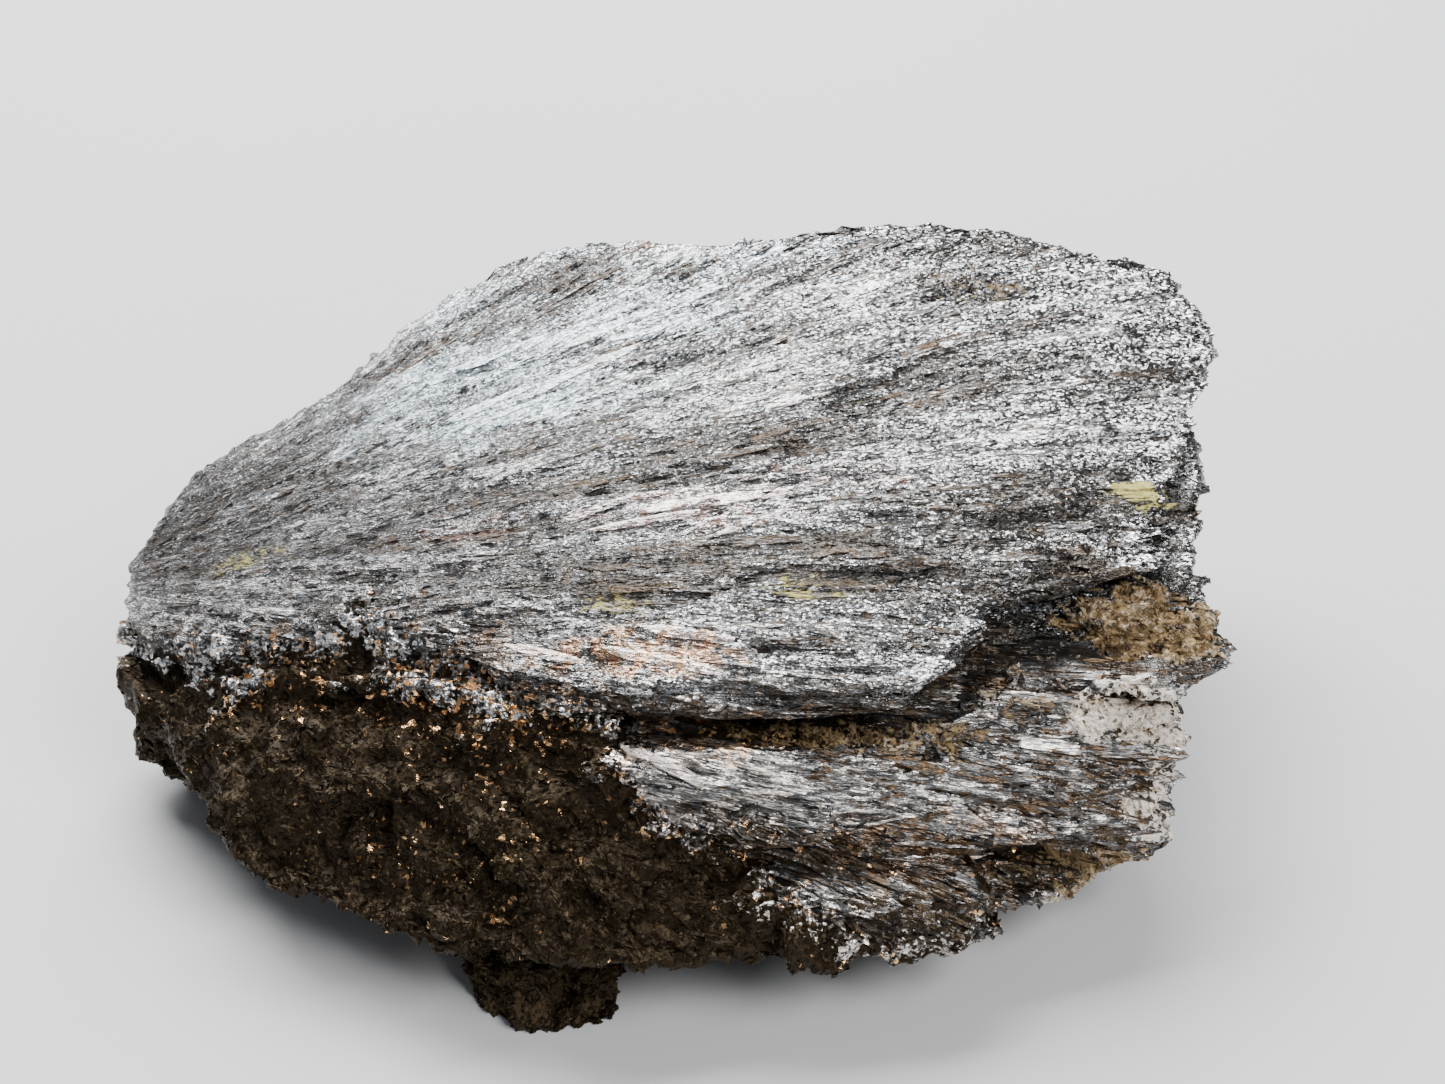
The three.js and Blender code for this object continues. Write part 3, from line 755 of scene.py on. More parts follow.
class Shader:
    """The node tree of one material."""

    def __init__(self, name: str) -> None:
        """Starts an empty tree.

        Args:
            name: The material's name.
        """
        self.material = bpy.data.materials.new(name)
        self.material.use_nodes = True
        self.tree = self.material.node_tree
        self.tree.nodes.clear()

    def node(self, kind: str, settings: dict | None = None, sockets: dict | None = None) -> bpy.types.Node:
        """Adds a node.

        Args:
            kind: The node's type.
            settings: Properties, set first.
            sockets: Values or links by socket name or number.

        Returns:
            The node.
        """
        node = self.tree.nodes.new(kind)
        for key, setting in (settings or {}).items():
            setattr(node, key, setting)
        for key, given in (sockets or {}).items():
            socket = node.inputs[key]
            source = given.socket if isinstance(given, Value) else given
            if isinstance(source, Socket):
                self.tree.links.new(source, socket)
            elif isinstance(source, Tint):
                socket.default_value = source.rgba()
            else:
                socket.default_value = source
        return node

    def value(self, kind: str, settings: dict | None = None, sockets: dict | None = None) -> Value:
        """Adds a node and gives its first output as a number."""
        return Value(self, self.node(kind, settings, sockets).outputs[0])

    def mix(self, share: Value | float, first: object, second: object) -> Socket:
        """Mixes two colours.

        Args:
            share: How much of the second colour, from 0 to 1.
            first: A colour socket or tint.
            second: A colour socket or tint.

        Returns:
            The mixed colour's socket.
        """
        settings = {"data_type": "RGBA", "clamp_factor": True}
        return self.node("ShaderNodeMix", settings, {0: share, 6: first, 7: second}).outputs[2]

    def vector(self, operation: str, first: object, second: object) -> bpy.types.Node:
        """Adds a Vector Math node."""
        return self.node("ShaderNodeVectorMath", {"operation": operation}, {0: first, 1: second})

    def scaled(self, vector: Socket, factor: float) -> Socket:
        """Multiplies a vector by a number."""
        sockets = {0: vector, "Scale": factor}
        return self.node("ShaderNodeVectorMath", {"operation": "SCALE"}, sockets).outputs[0]

    def parts(self, vector: Socket) -> tuple[Value, Value, Value]:
        """Splits a vector or colour in its three numbers."""
        node = self.node("ShaderNodeSeparateXYZ", sockets={0: vector})
        return tuple(Value(self, output) for output in node.outputs)

    def joined(self, x: Value | float, y: Value | float, z: Value | float) -> Socket:
        """Joins three numbers in a vector."""
        return self.node("ShaderNodeCombineXYZ", sockets={0: x, 1: y, 2: z}).outputs[0]

    def noise(self, vector: Socket, scale: float, detail: float = 2.0, rough: float = 0.5) -> Value:
        """Noise from 0 to 1 at a place."""
        sockets = {"Vector": vector, "Scale": scale, "Detail": detail, "Roughness": rough}
        return self.value("ShaderNodeTexNoise", {}, sockets)

    def layer(self, name: str) -> bpy.types.Node:
        """Reads one of the layers that paint() writes."""
        return self.node("ShaderNodeAttribute", {"attribute_name": name})

    def facets(self, vector: Socket, scale: float) -> tuple[Value, Value]:
        """Cells that each tilt their own way.

        Args:
            vector: The place.
            scale: How many cells there are to a unit.

        Returns:
            A height whose slope is constant in each cell, and a number from 0 to 1 for each cell.
        """
        cell = self.node("ShaderNodeTexVoronoi", {}, {"Vector": vector, "Scale": scale})
        offset = self.vector("SUBTRACT", vector, cell.outputs["Position"])
        lean = self.vector("SUBTRACT", cell.outputs["Color"], (0.5, 0.5, 0.5))
        height = self.vector("DOT_PRODUCT", offset.outputs[0], lean.outputs[0])
        own = self.parts(cell.outputs["Color"])[0]
        return Value(self, height.outputs["Value"]), own

    def finished(self, sockets: dict) -> Material:
        """Ends the tree in a Principled shader.

        Args:
            sockets: The shader's sockets, by name.

        Returns:
            The material.
        """
        surface = self.node("ShaderNodeBsdfPrincipled", {}, sockets)
        self.node("ShaderNodeOutputMaterial", {}, {"Surface": surface.outputs[0]})
        return self.material


# ---- Finishes ----


class Look(Shader):
    """The stibnite's node tree, with what its colours are mixed from: painted layers, and noise.

    hackle, brown, ochre, blue, white, yellow, cream, fire, tone, chance and sleek are written by paint();
    blue holds painted reflection, white partly painted highlight, and tone partly painted shade. crack is 1
    in a crack and edge is 1 on a sharp edge, and they put painted shade in cracks and painted highlight on
    edges.
    cloud is broad noise about 0, streak and grain are noise from 0 to 1, and own is a number from 0 to 1 for
    each small facet, whose slope is in tilt. They run along the blades, apart from cloud, and apart from
    grain and facets on hackly and crusted ground.
    """

    streak_stretch: float = 0.16
    blade_stretch: float = 0.75
    sleek_stretch: float = 0.5
    lump_scale: float = 0.52
    cloud_scale: float = 0.8
    streak_scale: float = 1.7
    grain_scale: float = 7.0
    facet_scale: float = 5.4

    def __init__(self, name: str) -> None:
        """Adds the nodes that the colours start from.

        Args:
            name: The material's name.
        """
        super().__init__(name)
        place = self.scaled(self.node("ShaderNodeTexCoord").outputs["Object"], 1 / MM)
        x, y, z = self.parts(place)
        ray_x = x - FAN.x
        ray_y = y - FAN.y + (z - FAN.z) * FAN.lean
        along = (ray_x * ray_x + ray_y * ray_y) ** 0.5
        across = ray_y.angle(ray_x) * FAN.reach
        grounds, tints, blades = (self.layer(name) for name in ("grounds", "tints", "blades"))
        self.hackle, self.brown, self.ochre = self.parts(grounds.outputs["Color"])
        self.blue, self.white, self.yellow = self.parts(tints.outputs["Color"])
        self.tone, self.chance, self.sleek = self.parts(blades.outputs["Color"])
        alphas = (layer.outputs["Alpha"] for layer in (grounds, tints, blades))
        hollow, self.cream, self.fire = (Value(self, alpha) for alpha in alphas)
        # crack and edge carry painted shade into cracks and painted highlight onto edges.
        self.crack = (hollow - 0.5).most(0.0) * 2
        self.edge = (0.5 - hollow).most(0.0) * 2

        streaked = self.joined(along * self.streak_stretch, across, z)
        bladed = self.joined(along * (self.blade_stretch - self.sleek * self.sleek_stretch), across, z)
        lumpy = self.hackle.most(self.ochre).most(self.cream) > 0.5
        sockets = {0: lumpy, 4: bladed, 5: self.scaled(place, self.lump_scale)}
        grained = self.node("ShaderNodeMix", {"data_type": "VECTOR"}, sockets).outputs[1]
        self.cloud = (self.noise(place, self.cloud_scale, 3.0, 0.65) - 0.5) * 2.4
        self.streak = self.noise(streaked, self.streak_scale, 2.0, 0.7)
        self.grain = self.noise(grained, self.grain_scale, 1.0, 0.8)
        self.tilt, self.own = self.facets(grained, self.facet_scale)


@dataclass(frozen=True)
class StibniteFinish:
    """Steel-grey metallic blades, with brown hackly ground, crusts and tints where they are painted.

    The plain numbers in the sums below are weights that were tuned together, and those in a ramp are
    where it starts and ends. Light and shade are painted in as well: shade in cracks, recesses and on steep
    faces, highlight on edges, along the shoulder and on the front ledges, and reflection in the blue and
    white tints.
    """

    name: str = "stibnite"
    bright: Tint = Tint(0.90, 0.90, 0.91)
    warm_bright: Tint = Tint(0.93, 0.85, 0.78)
    grey: Tint = Tint(0.165, 0.165, 0.167)
    shade: Tint = Tint(0.046, 0.046, 0.046)
    warm_shade: Tint = Tint(0.085, 0.062, 0.042)
    dark: Tint = Tint(0.038, 0.027, 0.018)
    brown: Tint = Tint(0.020, 0.013, 0.007)
    umber: Tint = Tint(0.036, 0.024, 0.010)
    earth: Tint = Tint(0.135, 0.118, 0.104)
    rust: Tint = Tint(0.10, 0.062, 0.034)
    bronze: Tint = Tint(0.92, 0.54, 0.26)
    flame: Tint = Tint(1.0, 0.68, 0.42)
    blush: Tint = Tint(0.30, 0.15, 0.10)
    dark_ochre: Tint = Tint(0.10, 0.062, 0.030)
    ochre: Tint = Tint(0.31, 0.21, 0.10)
    tan: Tint = Tint(0.52, 0.43, 0.31)
    cream: Tint = Tint(0.90, 0.82, 0.74)
    blue: Tint = Tint(0.80, 0.91, 0.96)
    white: Tint = Tint(0.93, 0.84, 0.82)
    yellow: Tint = Tint(0.62, 0.55, 0.17)
    specular: float = 0.25
    bump: float = 0.9

    def level(self, look: Look) -> Value:
        """Gives the brightness of each spot of the blades.

        Args:
            look: What it is mixed from.

        Returns:
            About 0 in shade to 1 on a bright facet.
        """
        sleek, tone, chance = look.sleek, look.tone, look.chance
        fine = look.own * 0.9 + (look.grain - 0.5) * 1.4 - 0.05
        # Lighter on the ledges of the front through sleek: painted light.
        level = fine * (1 - sleek * 0.45) + sleek * 0.14 + (look.streak - 0.5) * (sleek * 0.8 + 0.8)
        # Sharp edges are lightened: painted highlight.
        level = level + look.edge * 0.25 + 0.02
        level = level + (tone - 0.5) * 0.65 + (chance - 0.5) * 0.3
        # Painted light: blue lightens the painted reflection, and the top of the hackly band along the
        # shoulder is lightened as painted highlight.
        return level + look.blue * 0.18 + look.hackle * (1 - look.brown) * 0.24

    def metal(self, look: Look) -> Socket:
        """Mixes the colour of the blades.

        Args:
            look: What it is mixed from.

        Returns:
            The colour.
        """
        cloud, crack, white, sleek = look.cloud, look.crack, look.white, look.sleek
        level = self.level(look)
        shade = look.mix(cloud.ramp(-0.15, 0.45), self.shade, self.warm_shade)
        metal = look.mix(level.ramp(0.1, 0.55), shade, self.grey)
        metal = look.mix(level.ramp(0.6, 0.92), metal, look.mix(sleek, self.bright, self.warm_bright))
        earthy = (1.0 - level - (look.tone - 0.5) * 0.7 + crack * 0.5).ramp(0.5, 1.2)
        metal = look.mix(earthy * 0.35, metal, self.earth)
        # The blue tint is a painted reflection of bright light on the blades.
        metal = look.mix(look.blue * level.ramp(0.3, 0.8), metal, self.blue)
        # The white tint is partly pale blades, partly painted highlight.
        metal = look.mix((white * 1.1 + level * 0.6).ramp(0.95, 1.3), metal, self.white)
        fire = look.fire * (1 - look.hackle)
        blush = white.most(fire) * cloud.ramp(-0.1, 0.25) * (level - white * 0.3).ramp(0.75, 0.25)
        metal = look.mix(blush * 0.75, metal, self.blush)
        # flame is warm tarnish on the bright facets, partly painted highlight.
        metal = look.mix(fire * level.ramp(0.35, 0.7) * cloud.ramp(-0.15, 0.15), metal, self.flame)
        metal = look.mix(sleek * (cloud * 0.9 - level + 0.7).ramp(0.2, 0.8) * 0.7, metal, self.rust)
        # Cracks are darkened: painted shade.
        cracked = (crack * (1.25 - look.hackle * 0.5) - look.own * 0.4).ramp(0.15, 0.95)
        return look.mix(cracked, metal, self.dark)

    def glint(self, look: Look) -> Value:
        """Picks the facets of the hackly ground that glint.

        Args:
            look: What they are picked by.

        Returns:
            1 on a glinting facet, else 0.
        """
        sharp = look.own + look.chance * 0.3 + look.fire * 0.06 > 1.0
        return sharp * (look.cloud + look.fire * 0.5 - look.brown * 0.3).ramp(-0.05, 0.15)

    def hackled(self, look: Look, metal: Socket, glint: Value) -> Socket:
        """Mixes the colour of the hackly ground.

        Args:
            look: What it is mixed from.
            metal: The colour of its bare facets.
            glint: Which facets glint.

        Returns:
            The colour.
        """
        # Edges show more bare metal and cracks more brown: painted highlight and painted shade.
        bared = look.own * 0.8 + (look.grain - 0.5) * 0.8 + look.edge * 0.25 + look.chance * 0.3
        bared = bared - look.crack * 0.25 + look.cloud * 0.6 + 0.22 - look.brown * 1.5
        colour = look.mix(bared.ramp(0.2, 0.6), self.brown, metal)
        colour = look.mix((look.brown * 0.6 + 0.15) * (1 - look.grain).ramp(0.4, 0.6), colour, self.umber)
        return look.mix(glint, colour, self.bronze)

    def crusted(self, look: Look, ground: Socket) -> tuple[Socket, Value]:
        """Lays the ochre and cream crusts and the yellow stains on the ground.

        Args:
            look: What they are mixed from.
            ground: The ground's own colour.

        Returns:
            The colour, and how bare the ground is, from 0 to 1.
        """
        own, cloud, crack, edge, brown = look.own, look.cloud, look.crack, look.edge, look.brown
        # The crusts are lighter on edges and darker in cracks: painted highlight and painted shade.
        ochre_share = (look.ochre * 1.4 + own * 0.6 + cloud * 1.2 + crack * 0.3 - 0.95).ramp(0.0, 0.4)
        ochre_share = ochre_share * look.ochre.ramp(0.0, 0.2)
        pale_ochre = (look.chance * 0.4 + own * 0.5 + cloud * 1.3 + 0.1 - crack).ramp(0.0, 0.9)
        crust = look.mix(pale_ochre, self.dark_ochre, self.ochre)
        crust = look.mix((own * 0.8 + edge * 0.6 + cloud * 0.7 - brown).ramp(0.7, 1.15), crust, self.tan)
        crust = look.mix((brown * 1.1).least(0.9), crust, self.umber)
        ground = look.mix(ochre_share, ground, crust)
        cream_share = (look.cream * 1.4 + own * 1.4 + look.grain + cloud * 1.5 - crack - 1.6).ramp(0.0, 0.3)
        cream_share = cream_share * look.cream.ramp(0.0, 0.2)
        chalky = own * 0.9 + look.grain * 0.9 + edge * 0.3 - crack * 0.8 - 0.2
        chalk = look.mix(chalky.ramp(0.2, 0.5), self.dark_ochre, self.tan)
        chalk = look.mix(chalky.ramp(0.4, 0.85), chalk, self.cream)
        ground = look.mix(cream_share, ground, chalk)
        yellow_share = (look.yellow * 1.3 + own * 0.9 + cloud * 1.2 - 1.0).ramp(0.0, 0.35)
        yellow_share = yellow_share * look.yellow.ramp(0.0, 0.2)
        ground = look.mix(yellow_share * 0.85, ground, self.yellow)
        return ground, 1 - ochre_share.most(cream_share).most(yellow_share)

    def relief(self, look: Look, bare: Value) -> Value:
        """Gives the height of the facets, streaks and grain that are too fine for the mesh.

        Args:
            look: What it is mixed from.
            bare: How bare the ground is.

        Returns:
            A height, in millimetres.
        """
        flat = (look.white.most(look.sleek) * 0.5).least(0.8)
        relief = look.tilt * (1.1 - (1 - bare) * 0.2 + look.hackle * 0.3) * (1 - flat)
        relief = relief + look.streak * 0.15 * (1 - look.hackle * 0.6)
        return relief + look.grain * (0.07 + (1 - bare) * 0.14)

    def build(self) -> Material:
        """Builds the material.

        Returns:
            The material, which reads the layers that paint() writes.
        """
        look = Look(self.name)
        metal, glint = self.metal(look), self.glint(look)
        ground = look.mix(look.hackle, metal, self.hackled(look, metal, glint))
        ground, bare = self.crusted(look, ground)
        roughness = 0.34 - look.own * 0.1 - look.white * 0.04 + look.brown * (0.14 - glint * 0.3)
        height = {"Strength": self.bump, "Distance": MM, "Height": self.relief(look, bare)}
        sockets = {
            "Base Color": ground,
            "Metallic": bare * (1 - look.brown * 0.3 * (1 - glint)) * (1 - look.crack * 0.4),
            "Roughness": roughness + (1 - bare) * 0.4 + look.crack * 0.2,
            "Normal": look.node("ShaderNodeBump", {}, height).outputs[0],
            "Specular IOR Level": self.specular,
        }
        return look.finished(sockets)


@dataclass(frozen=True)
class FloorFinish:
    """Matt pale board with a faint tooth."""

    name: str = "pale_board"
    pale: Tint = Tint(0.66, 0.66, 0.665)
    paler: Tint = Tint(0.72, 0.72, 0.72)
    cloud_scale: float = 9.0
    roughness: float = 0.75

    def build(self) -> Material:
        """Builds the material.

        Returns:
            The material.
        """
        s = Shader(self.name)
        place = s.node("ShaderNodeTexCoord").outputs["Object"]
        colour = s.mix(s.noise(place, self.cloud_scale, 3.0), self.pale, self.paler)
        return s.finished({"Base Color": colour, "Roughness": self.roughness})


# ---- The mass ----


@dataclass(frozen=True)
class Steps:
    """Cells of one size that each stand at their own level. Lengths in millimetres."""

    size: float | Triple
    height: float
    seed: int


@dataclass(frozen=True)
class StibniteMass:
    """The whole mass: its solid, cut fine and stepped along the blades. Lengths in millimetres.

    tip says how much a blade slopes against its level, and slant and level how chips do. The relief is
    full from full_reach away from the fan's axis, and thinner towards the axis.
    """

    name: str = "stibnite_skin"
    pitch: float = 0.445
    rounding: int = 3
    blades: tuple[Steps, ...] = (
        Steps((15.0, 3.2, 1.8), 0.24, 30),
        Steps((7.5, 1.35, 1.0), 0.12, 35),
        Steps((4.0, 0.8, 0.6), 0.07, 40),
    )
    lumps: tuple[Steps, ...] = (Steps(6.5, 0.85, 60), Steps(2.6, 0.4, 65), Steps(1.2, 0.24, 70))
    tip: float = 0.8
    level: float = 0.7
    slant: float = 1.3
    waves: tuple[Ripple, ...] = (Ripple(0.7, 6.0, 21), Ripple(0.7, 6.0, 22))
    tooth: Ripple = Ripple(0.15, 0.9, 81)
    least_tooth: float = 0.4
    crust_ripples: tuple[Ripple, ...] = (Ripple(0.4, 1.5, 82), Ripple(0.4, 0.75, 83))
    steep: Pair = (0.2, 0.7)
    foot: Pair = (1.5, 5.0)
    full_reach: float = 62.0
    thinnest: float = 0.3
    ledge_gain: float = 2.2
    seam_depth: float = 0.55
    lens_depth: float = 0.3
    sunk: float = 0.3
    # The next two darken steep and downward faces of the skin: painted shade.
    painted_shade: float = 0.3
    shaded_facing: Pair = (-0.5, 0.0)
    chance: float = 0.5
    cavity_steps: int = 40
    cavity: float = 1.3
    crease_steps: int = 4
    crease: float = 0.26
    clearance: float = 0.02

    def fine_copy(self) -> bpy.types.Mesh:
        """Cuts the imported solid's shape in a fine, even mesh.

        Returns:
            A new mesh, in metres.
        """
        rough = bpy.data.objects.new("rough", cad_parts[NODE].data.copy())
        bpy.context.scene.collection.objects.link(rough)
        remesh = rough.modifiers.new("fine", "REMESH")
        remesh.mode = "VOXEL"
        remesh.voxel_size = self.pitch * MM
        shown = rough.evaluated_get(bpy.context.evaluated_depsgraph_get())
        mesh = bpy.data.meshes.new_from_object(shown)
        bpy.data.objects.remove(rough)
        return mesh

    def bladed_relief(self, points: Array) -> Array:
        """Steps of packets, blades and needles that each stand at their own level.

        Args:
            points: Places on the skin, in millimetres.

        Returns:
            How far the skin moves outwards.
        """
        fan = FAN.measure(points)
        fan[:, 1:] += np.stack([wave.at(points) for wave in self.waves], axis=1)
        relief = np.zeros(len(points))
        for grid, steps in enumerate(self.blades):
            names, offsets = cells(fan / np.array(steps.size), steps.seed)
            tip = tossed(50 + grid, names) * offsets[:, 1]
            relief += steps.height * (tossed(40 + grid, names) + self.tip * tip)
        return relief

    def hackly_relief(self, points: Array) -> Array:
        """Lumps and chips that each break off at their own slant.

        Args:
            points: Places on the skin, in millimetres.

        Returns:
            How far the skin moves outwards.
        """
        relief = np.zeros(len(points))
        for grid, steps in enumerate(self.lumps):
            names, offsets = cells(points / steps.size, steps.seed)
            slant = np.stack([tossed(75 + 3 * grid + axis, names) for axis in range(3)], axis=1)
            level = self.level * tossed(70 + grid, names)
            relief += steps.height * (level + self.slant * (slant * offsets).sum(axis=1))
        return relief

    def relief(self, points: Array, normals: Array) -> Array:
        """Adds up all that steps, seams, chips and pits do to the skin.

        Args:
            points: Places on the skin, in millimetres.
            normals: The outward normals there.

        Returns:
            How far the skin moves outwards.
        """
        hackle = PLACES.hackle(points)
        crust = PLACES.crust(points)
        steep = ramp(1 - np.abs(normals[:, 2]), *self.steep) * ramp(points[:, 2], *self.foot)
        thinning = np.clip(np.linalg.norm(FAN.rays(points), axis=1) / self.full_reach, self.thinnest, 1.0)
        relief = (1 - hackle) * (1 + self.ledge_gain * steep) * thinning * self.bladed_relief(points)
        relief -= self.seam_depth * steep * (1 - hackle) * PLACES.seams(points)
        relief += np.maximum(hackle, crust) * self.hackly_relief(points) - self.sunk * hackle
        relief += self.tooth.at(points) * (self.least_tooth + hackle)
        relief += crust * rippled(self.crust_ripples, points)
        pits = np.maximum(PLACES.lenses(points) * (1 - hackle), PLACES.cover_of(PLACES.pits, points))
        return relief - self.lens_depth * pits

    def hollow(self, points: Array, edges: Array, normals: Array) -> Array:
        """Finds the cracks and sharp edges, by how far smoothing moves each corner.

        Args:
            points: Corners of the skin, in millimetres.
            edges: Pairs of corner numbers.
            normals: The outward normals at the corners.

        Returns:
            1 in a crack, 0.5 on the level and 0 on an edge, from which the finish paints shade and
            highlight.
        """
        far = ((smoothed(points, edges, self.cavity_steps) - points) * normals).sum(axis=1)
        near = ((smoothed(points, edges, self.crease_steps) - points) * normals).sum(axis=1)
        return 0.5 + 0.5 * np.clip(far / self.cavity + near / self.crease, -1, 1)

    def build(self, finish: Material) -> tuple[Piece, Skin]:
        """Builds and dresses the mass.

        Args:
            finish: The stibnite's material.

        Returns:
            The piece, and its skin for what is scattered on it.
        """
        mesh = self.fine_copy()
        points = rows_of(mesh.vertices, "co", 3, np.float32).astype(np.float64) / MM
        edges = rows_of(mesh.edges, "vertices", 2, np.int32)
        faces = rows_of(mesh.loops, "vertex_index", 1, np.int32).reshape(-1, 4)
        bpy.data.meshes.remove(mesh)
        points = smoothed(points, edges, self.rounding)
        normals = vertex_normals(points, faces)
        points = points + normals * self.relief(points, normals)[:, None]
        points[:, 2] = np.maximum(points[:, 2], self.clearance)
        normals = vertex_normals(points, faces)
        hollow = self.hollow(points, edges, normals)
        piece = mesh_of(self.name, points, faces, smooth=True)
        # Steep and downward faces are darkened: painted shade.
        tone = PLACES.sheen(points) - self.painted_shade * ramp(-normals[:, 2], *self.shaded_facing)
        paint(piece, points, tone, np.full(len(points), self.chance), hollow)
        dress(piece, finish)
        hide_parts(NODE)
        triangles = np.concatenate([faces[:, [0, 1, 2]], faces[:, [0, 2, 3]]])
        return piece, Skin(points, normals, triangles, hollow)


# ---- Small blades, needles, chips and grains ----


class Cut(Enum):
    """How a small piece is cut: rings from tail to head, then the section that they share.

    A ring is its place along, its breadth and its height; a point of the section is its side and level.
    """

    BLADE = (
        ((-0.5, 0.3, -0.4), (-0.1, 1.0, 0.7), (0.5, 0.8, 1.0)),
        ((1.0, 0.0), (0.72, 1.0), (-0.72, 1.0), (-1.0, 0.0)),
    )
    LATH = (
        (
            (-0.5, 0.2, -0.4),
            (-0.4, 0.8, 0.6),
            (-0.15, 1.0, 0.9),
            (0.1, 0.9, 1.0),
            (0.35, 1.0, 0.9),
            (0.5, 0.55, 0.8),
        ),
        ((1.0, 0.0), (0.78, 1.0), (-0.78, 0.9), (-1.0, 0.0)),
    )
    NEEDLE = (
        ((-0.5, 0.5, -0.2), (0.5, 0.8, 1.0)),
        ((1.0, 0.0), (0.1, 1.0), (-1.0, 0.0)),
    )
    CHIP = (
        ((-0.5, 0.7, 0.35), (0.5, 0.75, 1.0)),
        ((1.0, 0.0), (0.75, 0.8), (-0.45, 1.0), (-1.0, 0.0)),
    )
    GRAIN = (
        ((-0.5, 0.55, 0.45), (0.0, 1.0, 1.0), (0.5, 0.5, 0.4)),
        ((1.0, 0.0), (0.7, 0.8), (-0.6, 1.0), (-1.0, 0.0)),
    )


class Ground(Enum):
    """Which part of the mass a cover lies on."""

    TOP = "parting on top"
    LEDGES = "ledges of the front"
    HACKLE = "broken front corner"
    HIDDEN = "back and underside"
    ENDS = "broken ends of the blades"
    CRUST = "crusts"

    def density(self, middles: Array, normals: Array) -> Array:
        """How thickly a cover lies at each place.

        Args:
            middles: Places on the skin, in millimetres.
            normals: The outward normals there.

        Returns:
            Weights from 0 to 1, and never quite 0.
        """
        hackle = PLACES.hackle(middles)
        top = ramp(normals[:, 2], *PLACES.top_slope) * ramp(middles[:, 2], *PLACES.top_level) * (1 - hackle)
        front = ramp(-middles[:, 1], *PLACES.front_start) * ramp(middles[:, 2], *PLACES.front_level)
        rays = FAN.rays(middles)
        facing = np.abs((rays * normals).sum(axis=1)) / np.linalg.norm(rays, axis=1)
        ends = ramp(facing, *PLACES.ends_facing)
        weights = {
            Ground.TOP: top * (1 - ends),
            Ground.LEDGES: front * (1 - top) * (1 - hackle) * (1 - ends),
            Ground.HACKLE: hackle * front,
            Ground.HIDDEN: (1 - top) * (1 - front) * (1 - ends),
            Ground.ENDS: ends * (1 - hackle * front),
            Ground.CRUST: PLACES.crust(middles) ** 2,
        }
        return weights[self] + TINY


def between(ends: Pair, share: Array) -> Array:
    """The number that lies a share of the way from the first end to the second."""
    return ends[0] + (ends[1] - ends[0]) * share


